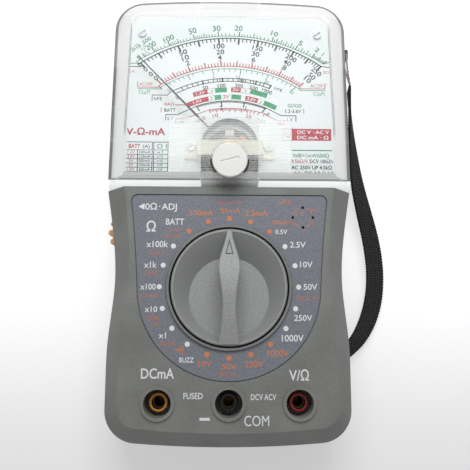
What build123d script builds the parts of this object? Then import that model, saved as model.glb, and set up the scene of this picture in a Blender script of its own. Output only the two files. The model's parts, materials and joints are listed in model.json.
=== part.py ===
"""An analogue multimeter: a moving-coil meter under a clear cover, a 20-position range
switch, three test-lead jacks, batteries, and a wrist strap. It lies on its back, face up."""

import os
from math import cos, pi, radians, sin, tan

from build123d import *

os.makedirs("parts", exist_ok=True)

# ---------------------------------------------------------------- driving sizes, millimetres
# Heights above the back.
PART_LINE = 21.0  # where the rear shell meets the front shell and the clear cover
SIDE_TOP = 25.2  # where the front shell's bevel begins
FACE = 34.0  # the front face
COVER_TOP = 41.2  # the clear cover's flat front
DIAL = 30.0  # the scale plate's printed side
NEEDLE = 34.6  # the needle's underside

# Plan of the case, measured from the knob's axis: half widths and ends.
HALF_BOTTOM = 46.6
HALF_WAIST = 44.3
HALF_TOP = 48.2  # at the shoulder, where the cover begins
HALF_END = 47.4  # at the cover's far end
BOTTOM_END = -59.15
TOP_END = 114.55
WAIST_Y = 2.0
STRAIGHT_END_Y = -28.0
SHOULDER_Y = 38.5
BOTTOM_BOW = 2.5
TOP_BOW = 2.0
BOTTOM_CORNER = 12.2
TOP_CORNER = 12.5
FACE_INSET = 6.6
FACE_TOP_INSET = 8.0
FACE_CORNER = 6.5
KNOB_Y = -(TOP_END + BOTTOM_END) / 2
TAPER = HALF_TOP - HALF_END

WALL = 2.2
RIM_WALL = 3.6
RIM_DEPTH = 4.0
BACK_DRAFT = 1.4
BACK_EDGE = 3.0
DECK = 2.0
FIT = 0.15  # clearance between moulded pieces
RUNNING = 0.05  # radial clearance of a shaft in its hole

# Clear cover.
COVER_WALL = 2.0
COVER_DRAFT = 9.0  # degrees
COVER_BEVEL = 5.6
COVER_BEVEL_DROP = 1.8
RIB_HALF_WIDTH = 23.2
RIB_TOP_Y = 64.3
RIB_PITCH = 0.95

# Moving-coil meter.
COIL_Y = 53.0
NEEDLE_LENGTH = 52.5
YOKE_R = 12.0
YOKE_BORE = 9.7
CORE_R = 7.4
COIL_SIDE = 4.0
ADJUSTER_Y = 46.7
ADJUSTER_R = 6.6
PIN_ECCENTRIC = 1.0

# Heights that the meter movement's pieces share.
BRIDGE_LOW = 36.0
BRIDGE_TOP = 37.0
LEVER_Z = 37.05
LEVER_THICKNESS = 0.6
JEWEL_TOP = 36.4
JEWEL_LOW = 18.6
LOWER_TOP = 18.2
PIVOT_R = 0.45
PIN_R = 0.6
JEWEL_R = 1.5
COLLET_R = 1.5
COLLET = 0.9
HAIR_R = 4.2
HAIR = 0.22
NEEDLE_ROOT = 1.1
NEEDLE_TIP = 0.3
NEEDLE_THICKNESS = 0.35
TAIL = 8.0
CROSS_ARM = 4.6
BRIDGE_HALF = 2.8
BRIDGE_LEG = 12.4
BRIDGE_FOOT = 17.6
LOWER_LEG = 11.0
LOWER_FOOT = 13.0

# Range switch.
KNOB_R = 21.8
WELL_R = KNOB_R + 0.7
RING_R = WELL_R + 1.0
RING_RISE = 0.8
WELL_FLOOR = 25.4
POSITIONS = 20
HUB_R = 6.0
BOARD = 12.0  # top of the circuit board
BOARD_THICKNESS = 1.6

# Jacks for 4 mm plugs.
JACK_X = 25.8
JACK_Y = -42.1
JACK_BORE = 2.0
JACK_SLEEVE_R = 2.6
JACK_BUSH_R = 3.4
JACK_RECESS_R = 5.0
JACK_RING_R = 6.15
JACK_FLOOR = 25.0
BUSH_TOP = 30.2

# Transistor socket, zero-ohm wheel, strap.
HFE_X = 28.0
HFE_Y = 26.5
HFE_CIRCLE = 3.85
WHEEL_R = 8.9
WHEEL_X = 8.7 - HALF_TOP
WHEEL_Y = 22.4
WHEEL_LOBES = 13
LOBE_R = 1.2
LUG_Y = 99.9
LUG_Z = 18.6
STRAP_WIDTH = 10.0
STRAP_THICKNESS = 1.3

# Batteries.
CELL_R = 7.25
CELL_LENGTH = 50.2
CELL_LEFT = 6.1 - HALF_END
CELL_ROWS = (79.5, 95.0)
BLOCK_WIDTH = 26.2
BLOCK_LENGTH = 45.0
BLOCK_DEPTH = 17.3
BLOCK_Y = 58.3
DOOR_HALF_WIDTH = HALF_END - 5.0
DOOR_LOW_Y = 55.6
DOOR_HIGH_Y = 108.4
CELL_WALL_X = HALF_END - 3.1


# ---------------------------------------------------------------- planes and outlines
def level(z):
    """A drawing plane z above the back, centred on the knob's axis."""
    return Plane(origin=(0, KNOB_Y, z))


def side(x):
    """An upright plane at x: drawing x runs toward the cover end, drawing y runs up."""
    return Plane(origin=(x, KNOB_Y, 0), x_dir=(0, 1, 0), z_dir=(1, 0, 0))


def across(y):
    """An upright plane at y: drawing x runs across the case, drawing y runs up."""
    return Plane(origin=(0, KNOB_Y + y, 0), x_dir=(1, 0, 0), z_dir=(0, -1, 0))


def case_outline(z, inset, corner_trim=0.0):
    """The whole case's plan, drawn in by inset."""
    low, waist, top = HALF_BOTTOM - inset, HALF_WAIST - inset, HALF_TOP - inset
    end = HALF_END - inset
    y_low, y_top = BOTTOM_END + inset, TOP_END - inset
    with BuildSketch(level(z)) as plan:
        with BuildLine():
            ThreePointArc((-low, y_low + BOTTOM_BOW), (0, y_low), (low, y_low + BOTTOM_BOW))
            ThreePointArc((-end, y_top - TOP_BOW), (0, y_top), (end, y_top - TOP_BOW))
            for s in (-1, 1):
                Line((s * low, y_low + BOTTOM_BOW), (s * low, STRAIGHT_END_Y))
                Spline(
                    (s * low, STRAIGHT_END_Y),
                    (s * waist, WAIST_Y),
                    (s * top, SHOULDER_Y),
                    tangents=[(0, 1), (s * 0.16, 1)],
                )
                Line((s * top, SHOULDER_Y), (s * end, y_top - TOP_BOW))
        make_face()
        fillet(plan.vertices().group_by(Axis.Y)[0], BOTTOM_CORNER - inset - corner_trim)
        fillet(plan.vertices().group_by(Axis.Y)[-1], TOP_CORNER - inset - corner_trim)
    return plan.sketch


def block_outline(z, inset, corner, top_inset=None, end=SHOULDER_Y - FIT):
    """The plan of the front shell's raised lower half, drawn in by inset."""
    low, waist = HALF_BOTTOM - inset, HALF_WAIST - inset
    top = HALF_TOP - (inset if top_inset is None else top_inset)
    y_low = BOTTOM_END + inset
    with BuildSketch(level(z)) as plan:
        with BuildLine():
            ThreePointArc((-low, y_low + BOTTOM_BOW), (0, y_low), (low, y_low + BOTTOM_BOW))
            Line((-top, end), (top, end))
            for s in (-1, 1):
                Line((s * low, y_low + BOTTOM_BOW), (s * low, STRAIGHT_END_Y))
                Spline(
                    (s * low, STRAIGHT_END_Y),
                    (s * waist, WAIST_Y),
                    (s * top, end),
                    tangents=[(0, 1), (s * 0.16, 1)],
                )
        make_face()
        fillet(plan.vertices().group_by(Axis.Y)[0], corner)
    return plan.sketch


def hood_outline(z, half, y_low, y_top, corner, bow=TOP_BOW):
    """The clear cover's plan at one height: half is its half width at the shoulder."""
    end = half - TAPER
    with BuildSketch(level(z)) as plan:
        with BuildLine():
            Polyline((-end, y_top - bow), (-half, y_low), (half, y_low), (end, y_top - bow))
            ThreePointArc((-end, y_top - bow), (0, y_top), (end, y_top - bow))
        make_face()
        fillet(plan.vertices().group_by(Axis.Y)[-1], corner)
    return plan.sketch


def save(piece, name):
    """Labels a finished piece and writes it to its own file."""
    piece.part.label = name
    export_step(piece.part, f"parts/{name}.step")


# ---------------------------------------------------------------- rear shell
COVER_SLOPE = tan(radians(COVER_DRAFT))
RIM_LOW = PART_LINE - RIM_DEPTH
LOW_SCREW_X = HALF_BOTTOM - 9.6
HIGH_SCREW_X = HALF_TOP - 9.2
SCREW_PLACES = [(-LOW_SCREW_X, -45.0), (LOW_SCREW_X, -45.0), (-HIGH_SCREW_X, 47.5), (HIGH_SCREW_X, 47.5)]
SCREW_BOSS_R = 3.6
SCREW_HEAD_R = 2.8
SCREW_SHANK_R = 1.45
SCREW_SEAT = 3.4
SCREW_HEAD = 1.8
SCREW_TIP = 20.0
BOSS_MEET = 14.0
BOARD_LOW = BOARD - BOARD_THICKNESS
BOARD_POSTS = [(-34.0, -24.0), (34.0, -24.0), (-24.0, 33.0), (33.5, 32.5)]
BOARD_POST_R = 2.6
BAY_Y = 53.4
BAY_WALL = 1.5
BAY_TOP = 16.0
CELL_CONTACT = 1.3
CELL_RIGHT = CELL_LEFT + CELL_LENGTH
DIVIDER_X = CELL_RIGHT + CELL_CONTACT
BLOCK_LEFT = DIVIDER_X + BAY_WALL + 1.9
SLOT_Y = -27.9
SLOT_LENGTH = 10.4
SLOT_LOW = 3.4
SLOT_HIGH = 15.2
ANCHOR = (HALF_BOTTOM - 6.0, -31.6)
ANCHOR_R = 1.8
WHEEL_LOW = 15.4
WHEEL_HIGH = 20.4
DOOR_THICKNESS = 2.0
DOOR_LEDGE = 0.8
DOOR_CORNER = 9.0
DOOR_GAP = 0.2
DOOR_TAB_X = 24.0
DOOR_TAB_Y = 51.0
DOOR_TAB_R = 4.2
DOOR_SCREW_R = 2.1
DOOR_SCREW_HEAD = 1.0
DOOR_SHANK_R = 1.2
DOOR_SCREW_TIP = 9.0
DOOR_BOSS_TOP = 10.0
LUG_HOLE_R = 1.3
LUG_HEAD_R = 1.7
LUG_HEAD = 0.8
LUG_SEAT_X = HALF_END - 3.6
FOOT_CLEAR = 0.3


def inset_at(z):
    """How far the rear shell's outside is drawn in at a height."""
    return BACK_DRAFT * (PART_LINE - z) / PART_LINE


def door_outline(z, shrink, tab_shrink):
    """The battery door's plan with its two screw tabs, drawn in by a clearance."""
    half = DOOR_HALF_WIDTH - shrink
    with BuildSketch(level(z)) as plan:
        with Locations((0, (DOOR_LOW_Y + DOOR_HIGH_Y) / 2)):
            Rectangle(2 * half, DOOR_HIGH_Y - DOOR_LOW_Y - 2 * shrink)
        fillet(plan.vertices().group_by(Axis.Y)[-1], DOOR_CORNER - shrink)
        for x in (-DOOR_TAB_X, DOOR_TAB_X):
            with Locations((x, DOOR_TAB_Y)):
                Circle(DOOR_TAB_R - tab_shrink)
            with Locations((x, (DOOR_TAB_Y + DOOR_LOW_Y) / 2 + 1)):
                Rectangle(2 * (DOOR_TAB_R - tab_shrink), DOOR_LOW_Y - DOOR_TAB_Y + 2)
    return plan.sketch


with BuildPart() as case_back:
    loft([case_outline(0, inset_at(0)), case_outline(PART_LINE, 0)])
    fillet(case_back.edges().group_by(Axis.Z)[0], BACK_EDGE)
    loft(
        [
            case_outline(WALL, inset_at(WALL) + WALL, 0.5),
            case_outline(RIM_LOW, inset_at(RIM_LOW) + WALL, 0.5),
        ],
        mode=Mode.SUBTRACT,
    )
    loft(
        [case_outline(RIM_LOW, RIM_WALL, 0.5), case_outline(PART_LINE, RIM_WALL, 0.5)],
        mode=Mode.SUBTRACT,
    )
    # Case-screw bosses, board posts, the strap's anchor post and the door-screw bosses.
    with BuildSketch(level(WALL)):
        with Locations(*SCREW_PLACES):
            Circle(SCREW_BOSS_R)
    extrude(amount=BOSS_MEET - WALL)
    with BuildSketch(level(WALL)):
        with Locations(*BOARD_POSTS):
            Circle(BOARD_POST_R)
    extrude(amount=BOARD_LOW - WALL)
    with BuildSketch(level(WALL)):
        with Locations(ANCHOR):
            Circle(ANCHOR_R)
    extrude(amount=SLOT_HIGH - WALL)
    with BuildSketch(level(WALL)):
        with Locations((-DOOR_TAB_X, DOOR_TAB_Y), (DOOR_TAB_X, DOOR_TAB_Y)):
            Circle(BOARD_POST_R + 0.6)
    extrude(amount=DOOR_BOSS_TOP - WALL)
    # Battery bay: a cross wall and a divider between the cells and the block battery.
    with BuildSketch(level(WALL)):
        with Locations((0, BAY_Y + BAY_WALL / 2)):
            Rectangle(2 * HALF_END - 6.8, BAY_WALL)
        with Locations((DIVIDER_X + BAY_WALL / 2, (BAY_Y + TOP_END) / 2 - 1)):
            Rectangle(BAY_WALL, TOP_END - BAY_Y - 3)
    extrude(amount=BAY_TOP - WALL)
    # Door opening and the recess that its edge seats in.
    with BuildSketch(level(0)):
        add(door_outline(0, 0, 0).moved(Location((0, -KNOB_Y, 0))))
    extrude(amount=DOOR_THICKNESS, mode=Mode.SUBTRACT)
    with BuildSketch(level(0)) as opening:
        with Locations((0, (DOOR_LOW_Y + DOOR_HIGH_Y) / 2)):
            Rectangle(
                2 * (DOOR_HALF_WIDTH - DOOR_LEDGE), DOOR_HIGH_Y - DOOR_LOW_Y - 2 * DOOR_LEDGE
            )
        fillet(opening.vertices().group_by(Axis.Y)[-1], DOOR_CORNER - DOOR_LEDGE)
    extrude(amount=WALL + 0.01, mode=Mode.SUBTRACT)
    # Screw holes from the back.
    with BuildSketch(level(0)):
        with Locations(*SCREW_PLACES):
            Circle(SCREW_SHANK_R + FIT)
    extrude(amount=BOSS_MEET, mode=Mode.SUBTRACT)
    with BuildSketch(level(0)):
        with Locations(*SCREW_PLACES):
            Circle(SCREW_HEAD_R + FIT)
    extrude(amount=SCREW_SEAT, mode=Mode.SUBTRACT)
    with BuildSketch(level(0)):
        with Locations((-DOOR_TAB_X, DOOR_TAB_Y), (DOOR_TAB_X, DOOR_TAB_Y)):
            Circle(DOOR_SHANK_R + RUNNING)
    extrude(amount=DOOR_SCREW_TIP + 0.4, mode=Mode.SUBTRACT)
    # Side openings: the strap's slot, the thumbwheel's window and the lug's hole.
    with BuildSketch(side(HALF_BOTTOM - 6)):
        with Locations((SLOT_Y, (SLOT_LOW + SLOT_HIGH) / 2)):
            RectangleRounded(SLOT_LENGTH, SLOT_HIGH - SLOT_LOW, 1.2)
    extrude(amount=8, mode=Mode.SUBTRACT)
    with BuildSketch(level(WHEEL_LOW - FOOT_CLEAR)):
        with Locations((WHEEL_X, WHEEL_Y)):
            Circle(WHEEL_R + 0.5)
    extrude(amount=PART_LINE, mode=Mode.SUBTRACT)
    with BuildSketch(side(HALF_TOP - 8)):
        with Locations((LUG_Y, LUG_Z)):
            Circle(LUG_HOLE_R)
    extrude(amount=9, mode=Mode.SUBTRACT)
    with BuildSketch(side(HALF_TOP - 8)):
        with Locations((LUG_Y, LUG_Z)):
            Circle(LUG_HEAD_R + FIT)
    extrude(amount=LUG_SEAT_X - HALF_TOP + 8, mode=Mode.SUBTRACT)

# ---------------------------------------------------------------- front shell
DECK_TOP = PART_LINE + DECK
DECK_INSET = COVER_WALL + 0.6
CEILING = FACE - WALL
CAVITY_INSET = FACE_INSET + 1.6
CAVITY_TOP_INSET = FACE_TOP_INSET + 1.6
CAVITY_CORNER = FACE_CORNER - 2.0
BLOCK_END = SHOULDER_Y - FIT - 0.15
PANEL_DEPTH = 0.9
PANEL_THICKNESS = 0.6
PANEL_TOP_Y = 35.2
PANEL_LOW_R = 34.6
PANEL_TOP_HALF = 37.7
PANEL_LOW_HALF = 34.4
PANEL_CORNER = 2.5
PANEL_GAP = 0.35
WELL_WALL = 1.8
COLLAR_R = 8.6
COLLAR_LOW = 20.0
DETENT_CIRCLE = 15.5
DETENT_ANGLES = (45.0, 225.0)
BALL_R = 1.75
BALL_POCKET_R = BALL_R + 0.1
DETENT_FLOOR = 19.6
TONGUE_HALF = 6.7
TONGUE_Y = 65.3
TONGUE_IN = 4.0
TONGUE_THICKNESS = 1.5
HOOK_LOW = 26.8
HOOK_HIGH = 28.6
TOP_TONGUE_HALF = 6.2
HIGH_PILLAR_X = HALF_END - 11.9
PILLARS = [(-15.2, 55.0), (15.2, 55.0), (-HIGH_PILLAR_X, 103.0), (HIGH_PILLAR_X, 103.0)]
PILLAR_R = 2.6
PLATE_THICKNESS = 0.8
PLATE_SCREW_R = 1.0


def panel_outline(z, gap):
    """The blue-grey panel: straight top, hollow sides, foot round about the knob."""
    low_r = PANEL_LOW_R - gap
    half, low_half = PANEL_TOP_HALF - gap, PANEL_LOW_HALF - gap
    with BuildSketch(level(z)) as plan:
        with BuildLine():
            Line((-half, PANEL_TOP_Y - gap), (half, PANEL_TOP_Y - gap))
            for s in (-1, 1):
                Spline(
                    (s * half, PANEL_TOP_Y - gap),
                    (s * (half - 1.9), 18.0),
                    (s * low_half, 0),
                )
            ThreePointArc((-low_half, 0), (0, -low_r), (low_half, 0))
        make_face()
        fillet(plan.vertices().group_by(Axis.Y)[-1], PANEL_CORNER - gap)
    return plan.sketch


def cover_half(z, y=SHOULDER_Y):
    """Half the width of the cover's outside at a height below its bevel."""
    narrowing = TAPER * (y - SHOULDER_Y) / (TOP_END - TOP_BOW - SHOULDER_Y)
    return HALF_TOP - narrowing - (z - PART_LINE) * COVER_SLOPE


def cover_top_y(z):
    """Where the cover's end wall stands, on its outside, at a height."""
    return TOP_END - (z - PART_LINE) * COVER_SLOPE


with BuildPart() as case_front:
    loft(
        [
            block_outline(PART_LINE, 0, BOTTOM_CORNER, end=BLOCK_END),
            block_outline(SIDE_TOP, 0.2, BOTTOM_CORNER, end=BLOCK_END),
        ]
    )
    loft(
        [
            block_outline(SIDE_TOP, 0.2, BOTTOM_CORNER, end=BLOCK_END),
            block_outline(FACE, FACE_INSET, FACE_CORNER, FACE_TOP_INSET, BLOCK_END),
        ]
    )
    loft(
        [
            block_outline(PART_LINE, WALL, BOTTOM_CORNER - 2, end=BLOCK_END - WALL),
            block_outline(SIDE_TOP - 0.8, WALL + 0.2, BOTTOM_CORNER - 2, end=BLOCK_END - WALL),
        ],
        mode=Mode.SUBTRACT,
    )
    loft(
        [
            block_outline(SIDE_TOP - 0.8, WALL + 0.2, BOTTOM_CORNER - 2, end=BLOCK_END - WALL),
            block_outline(CEILING, CAVITY_INSET, CAVITY_CORNER, CAVITY_TOP_INSET, BLOCK_END - WALL),
        ],
        mode=Mode.SUBTRACT,
    )
    # Deck under the meter, closing on the raised block's end wall.
    with BuildSketch(level(PART_LINE)):
        add(case_outline(0, DECK_INSET).moved(Location((0, -KNOB_Y, 0))))
        with Locations((0, BLOCK_END - WALL - 100)):
            Rectangle(200, 200, mode=Mode.SUBTRACT)
    extrude(amount=DECK)
    # Well of the range knob, with its ring, floor and bearing collar.
    with BuildSketch(level(WELL_FLOOR - DECK)):
        Circle(WELL_R + WELL_WALL)
    extrude(amount=CEILING - WELL_FLOOR + DECK + 0.5)
    with BuildSketch(level(COLLAR_LOW)):
        Circle(COLLAR_R)
    extrude(amount=WELL_FLOOR - COLLAR_LOW)
    with BuildSketch(level(DETENT_FLOOR - 1)):
        with PolarLocations(DETENT_CIRCLE, len(DETENT_ANGLES), start_angle=DETENT_ANGLES[0]):
            Circle(BALL_POCKET_R + 1.3)
    extrude(amount=WELL_FLOOR - DETENT_FLOOR)
    # Recess for the panel, and the ring that stands through it.
    with BuildSketch(level(FACE - PANEL_DEPTH)):
        add(panel_outline(0, 0).moved(Location((0, -KNOB_Y, 0))))
    extrude(amount=PANEL_DEPTH + 2, mode=Mode.SUBTRACT)
    with BuildSketch(level(CEILING)):
        Circle(RING_R)
    extrude(amount=FACE + RING_RISE - CEILING)
    fillet(case_front.edges().group_by(Axis.Z)[-1], 0.35)
    with BuildSketch(level(WELL_FLOOR)):
        Circle(WELL_R)
    extrude(amount=COVER_TOP, mode=Mode.SUBTRACT)
    with BuildSketch(level(COLLAR_LOW)):
        Circle(HUB_R + RUNNING)
    extrude(amount=WELL_FLOOR, mode=Mode.SUBTRACT)
    with BuildSketch(level(DETENT_FLOOR)):
        with PolarLocations(DETENT_CIRCLE, len(DETENT_ANGLES), start_angle=DETENT_ANGLES[0]):
            Circle(BALL_POCKET_R)
    extrude(amount=WELL_FLOOR, mode=Mode.SUBTRACT)
    # Jack tubes with their raised rings.
    jack_places = [(-JACK_X, JACK_Y), (0, JACK_Y), (JACK_X, JACK_Y)]
    with BuildSketch(level(JACK_FLOOR - DECK)):
        with Locations(*jack_places):
            Circle(JACK_RECESS_R + WELL_WALL - 0.2)
    extrude(amount=FACE - 1 - JACK_FLOOR + DECK)
    with BuildSketch(level(FACE - 1)):
        with Locations(*jack_places):
            Circle(JACK_RING_R)
    extrude(amount=1 + RING_RISE)
    with BuildSketch(level(JACK_FLOOR)):
        with Locations(*jack_places):
            Circle(JACK_RECESS_R)
    extrude(amount=COVER_TOP, mode=Mode.SUBTRACT)
    with BuildSketch(level(JACK_FLOOR - DECK - 1)):
        with Locations(*jack_places):
            Circle(JACK_BUSH_R + RUNNING)
    extrude(amount=COVER_TOP, mode=Mode.SUBTRACT)
    # Posts that press the board down, and the screw bosses.
    with BuildSketch(level(BOARD)):
        with Locations(*BOARD_POSTS):
            Circle(BOARD_POST_R)
    extrude(amount=CEILING - BOARD + 0.2)
    with BuildSketch(level(BOSS_MEET)):
        with Locations(*SCREW_PLACES[:2]):
            Circle(SCREW_BOSS_R)
    extrude(amount=FACE - 4.4 - BOSS_MEET)
    with BuildSketch(level(BOSS_MEET)):
        with Locations(*SCREW_PLACES[2:]):
            Circle(SCREW_BOSS_R)
    extrude(amount=DECK_TOP - BOSS_MEET)
    with BuildSketch(level(BOSS_MEET)):
        with Locations(*SCREW_PLACES):
            Circle(SCREW_SHANK_R + RUNNING)
    extrude(amount=SCREW_TIP + 0.4 - BOSS_MEET, mode=Mode.SUBTRACT)
    # Deck: the hole the coil swings in, the pillars of the scale plate, the cover's hooks.
    with BuildSketch(level(PART_LINE - 1)):
        with Locations((0, COIL_Y)):
            Circle(YOKE_BORE + 0.3)
    extrude(amount=DECK + 2, mode=Mode.SUBTRACT)
    with BuildSketch(level(DECK_TOP - 0.5)):
        with Locations(*PILLARS):
            Circle(PILLAR_R)
    extrude(amount=DIAL - PLATE_THICKNESS - DECK_TOP + 0.5)
    with BuildSketch(level(DIAL - PLATE_THICKNESS - 4)):
        with Locations(*PILLARS):
            Circle(PLATE_SCREW_R + RUNNING)
    extrude(amount=5, mode=Mode.SUBTRACT)
    for s in (-1, 1):
        with BuildSketch(across(TONGUE_Y + TONGUE_HALF)):
            with BuildLine():
                foot = s * (cover_half(HOOK_HIGH, TONGUE_Y) - TONGUE_IN)
                face = foot + s * TONGUE_THICKNESS
                tip = s * (cover_half(HOOK_HIGH, TONGUE_Y) - 0.4)
                Polyline(
                    (foot, DECK_TOP - 0.5),
                    (face, DECK_TOP - 0.5),
                    (face, HOOK_LOW),
                    (tip, HOOK_LOW),
                    (face, HOOK_HIGH),
                    (foot, HOOK_HIGH),
                    close=True,
                )
            make_face()
        extrude(amount=2 * TONGUE_HALF)
    with BuildSketch(side(-TOP_TONGUE_HALF)):
        with BuildLine():
            foot = cover_top_y(HOOK_HIGH) - TONGUE_IN
            face = foot + TONGUE_THICKNESS
            tip = cover_top_y(HOOK_HIGH) - 0.5
            Polyline(
                (foot, DECK_TOP - 0.5),
                (face, DECK_TOP - 0.5),
                (face, HOOK_LOW),
                (tip, HOOK_LOW),
                (face, HOOK_HIGH),
                (foot, HOOK_HIGH),
                close=True,
            )
        make_face()
    extrude(amount=2 * TOP_TONGUE_HALF)
    # Holes of the transistor socket.
    with BuildSketch(level(CEILING - 1)):
        with Locations((HFE_X, HFE_Y)):
            with PolarLocations(HFE_CIRCLE, 4):
                Circle(0.55)
    extrude(amount=WALL + 2, mode=Mode.SUBTRACT)

# ---------------------------------------------------------------- panel and clear cover
with BuildPart() as label_panel:
    with BuildSketch(level(FACE - PANEL_DEPTH)):
        add(panel_outline(0, PANEL_GAP).moved(Location((0, -KNOB_Y, 0))))
        Circle(RING_R + FIT, mode=Mode.SUBTRACT)
        with Locations((HFE_X, HFE_Y)):
            with PolarLocations(HFE_CIRCLE, 4):
                Circle(0.55, mode=Mode.SUBTRACT)
    extrude(amount=PANEL_THICKNESS)

BEVEL_Z = COVER_TOP - COVER_BEVEL_DROP
COVER_LOW_Y = SHOULDER_Y - 0.1
COVER_LOW_LEAN = 0.05
COVER_TOP_CORNER = 5.0
STEM_R = 3.0
BOSS_R = ADJUSTER_R + 0.65
BOSS_RISE = 0.6
ADJUSTER_SEAT = COVER_TOP - 0.9
RIB = 0.4
WINDOW_GAP = 0.2


def hood(z, wall):
    """The cover's plan at a height below its bevel, drawn in by a wall."""
    half, y_top = cover_half(z) - wall, cover_top_y(z) - wall
    y_low = COVER_LOW_Y + (z - PART_LINE) * COVER_LOW_LEAN + wall
    return hood_outline(z, half, y_low, y_top, TOP_CORNER - wall - (z - PART_LINE) * 0.05)


def hood_front(z, wall):
    """The cover's flat front, inside its bevel."""
    half = cover_half(BEVEL_Z) - COVER_BEVEL - wall / 3
    y_low = COVER_LOW_Y + (BEVEL_Z - PART_LINE) * COVER_LOW_LEAN + 1.3 + wall
    y_top = cover_top_y(BEVEL_Z) - 4.4 - wall / 3
    return hood_outline(z, half, y_low, y_top, COVER_TOP_CORNER, 1.6)


INNER_BEVEL_Z = BEVEL_Z - COVER_WALL + 0.4
INNER_TOP = COVER_TOP - COVER_WALL
rib_count = int((RIB_TOP_Y - COVER_LOW_Y - 4) / RIB_PITCH)
with BuildPart() as meter_cover:
    loft([hood(PART_LINE + 0.05, 0), hood(BEVEL_Z, 0)])
    loft([hood(BEVEL_Z, 0), hood_front(COVER_TOP, 0)])
    loft([hood(PART_LINE + 0.05, COVER_WALL), hood(INNER_BEVEL_Z, COVER_WALL)], mode=Mode.SUBTRACT)
    loft([hood(INNER_BEVEL_Z, COVER_WALL), hood_front(INNER_TOP, COVER_WALL)], mode=Mode.SUBTRACT)
    with BuildSketch(level(INNER_TOP - RIB)):
        with Locations((0, RIB_TOP_Y - rib_count * RIB_PITCH / 2)):
            with GridLocations(1, RIB_PITCH, 1, rib_count):
                Rectangle(2 * RIB_HALF_WIDTH, RIB_PITCH / 2)
    extrude(amount=RIB + 0.1)
    with BuildSketch(level(COVER_TOP - 1)):
        with Locations((0, ADJUSTER_Y)):
            Circle(BOSS_R)
    extrude(amount=1 + BOSS_RISE)
    with BuildSketch(level(ADJUSTER_SEAT)):
        with Locations((0, ADJUSTER_Y)):
            Circle(ADJUSTER_R + RUNNING)
    extrude(amount=3, mode=Mode.SUBTRACT)
    with BuildSketch(level(INNER_TOP - 1)):
        with Locations((0, ADJUSTER_Y)):
            Circle(STEM_R + RUNNING)
    extrude(amount=4, mode=Mode.SUBTRACT)
    with BuildSketch(level(INNER_TOP - 1)):
        with Locations((0, ADJUSTER_Y)):
            Circle(STEM_R + 1.6)
    extrude(amount=1, mode=Mode.SUBTRACT)
    # Windows that the deck's hooks snap into.
    window_z = (HOOK_LOW + HOOK_HIGH) / 2
    window_height = HOOK_HIGH - HOOK_LOW + 2 * WINDOW_GAP
    with BuildSketch(side(-HALF_TOP)):
        with Locations((TONGUE_Y, window_z)):
            Rectangle(2 * TONGUE_HALF + 2 * WINDOW_GAP, window_height)
    extrude(amount=2 * HALF_TOP, mode=Mode.SUBTRACT)
    with BuildSketch(across(TOP_END)):
        with Locations((0, window_z)):
            Rectangle(2 * TOP_TONGUE_HALF + 2 * WINDOW_GAP, window_height)
    extrude(amount=8, mode=Mode.SUBTRACT)
    # The lower wall stands on the deck.
    with BuildSketch(level(PART_LINE - 1)):
        with Locations((0, SHOULDER_Y)):
            Rectangle(2 * (HALF_TOP - DECK_INSET + FIT), 12)
    extrude(amount=DECK + 1 + 0.05, mode=Mode.SUBTRACT)

with BuildPart() as zero_adjuster:
    with BuildSketch(level(ADJUSTER_SEAT)):
        with Locations((0, ADJUSTER_Y)):
            Circle(ADJUSTER_R)
    extrude(amount=COVER_TOP + BOSS_RISE + 0.2 - ADJUSTER_SEAT)
    fillet(zero_adjuster.edges().group_by(Axis.Z)[-1], 0.4)
    with BuildSketch(level(COVER_TOP + BOSS_RISE - 0.1)):
        with Locations((0, ADJUSTER_Y)):
            Rectangle(7.4, 1.1, rotation=15)
    extrude(amount=2, mode=Mode.SUBTRACT)
    with BuildSketch(level(INNER_TOP - 0.15)):
        with Locations((0, ADJUSTER_Y)):
            Circle(STEM_R)
    extrude(amount=ADJUSTER_SEAT - INNER_TOP + 0.15)
    with BuildSketch(level(INNER_TOP - 0.95)):
        with Locations((0, ADJUSTER_Y)):
            Circle(STEM_R + 0.9)
    extrude(amount=0.8)
    with BuildSketch(level(LEVER_Z - 0.3)):
        with Locations((0, ADJUSTER_Y - PIN_ECCENTRIC)):
            Circle(PIN_R)
    extrude(amount=INNER_TOP - 0.9 - LEVER_Z + 0.3)

# ---------------------------------------------------------------- meter movement
PLATE_CUT_R = 11.2
PLATE_CUT_Y = 56.0
PLATE_EDGE_GAP = 0.8
YOKE_TOP = 29.0
COIL_LOW = 21.6
COIL_HIGH = 30.4
COIL_THICKNESS = 1.4
REST_ANGLE = 90 + 43.8
COIL_ANGLE = REST_ANGLE - 90


with BuildPart() as scale_plate:
    with BuildSketch(level(DIAL - PLATE_THICKNESS)):
        edge = COVER_WALL + PLATE_EDGE_GAP
        add(
            hood_outline(
                0,
                cover_half(DIAL) - edge,
                COVER_LOW_Y + COVER_WALL + PLATE_EDGE_GAP,
                cover_top_y(DIAL) - edge,
                TOP_CORNER - edge,
            ).moved(Location((0, -KNOB_Y, 0)))
        )
        with Locations((0, PLATE_CUT_Y)):
            Circle(PLATE_CUT_R, mode=Mode.SUBTRACT)
        with Locations((0, (PLATE_CUT_Y + SHOULDER_Y) / 2)):
            Rectangle(2 * PLATE_CUT_R, PLATE_CUT_Y - SHOULDER_Y, mode=Mode.SUBTRACT)
        with Locations(*PILLARS):
            Circle(PLATE_SCREW_R + 0.1, mode=Mode.SUBTRACT)
    extrude(amount=PLATE_THICKNESS)

with BuildPart() as yoke_ring:
    with BuildSketch(level(DECK_TOP)):
        with Locations((0, COIL_Y)):
            Circle(YOKE_R)
            Circle(YOKE_BORE, mode=Mode.SUBTRACT)
    extrude(amount=YOKE_TOP - DECK_TOP)
    chamfer(yoke_ring.edges().group_by(Axis.Z)[-1], 0.4)

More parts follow.
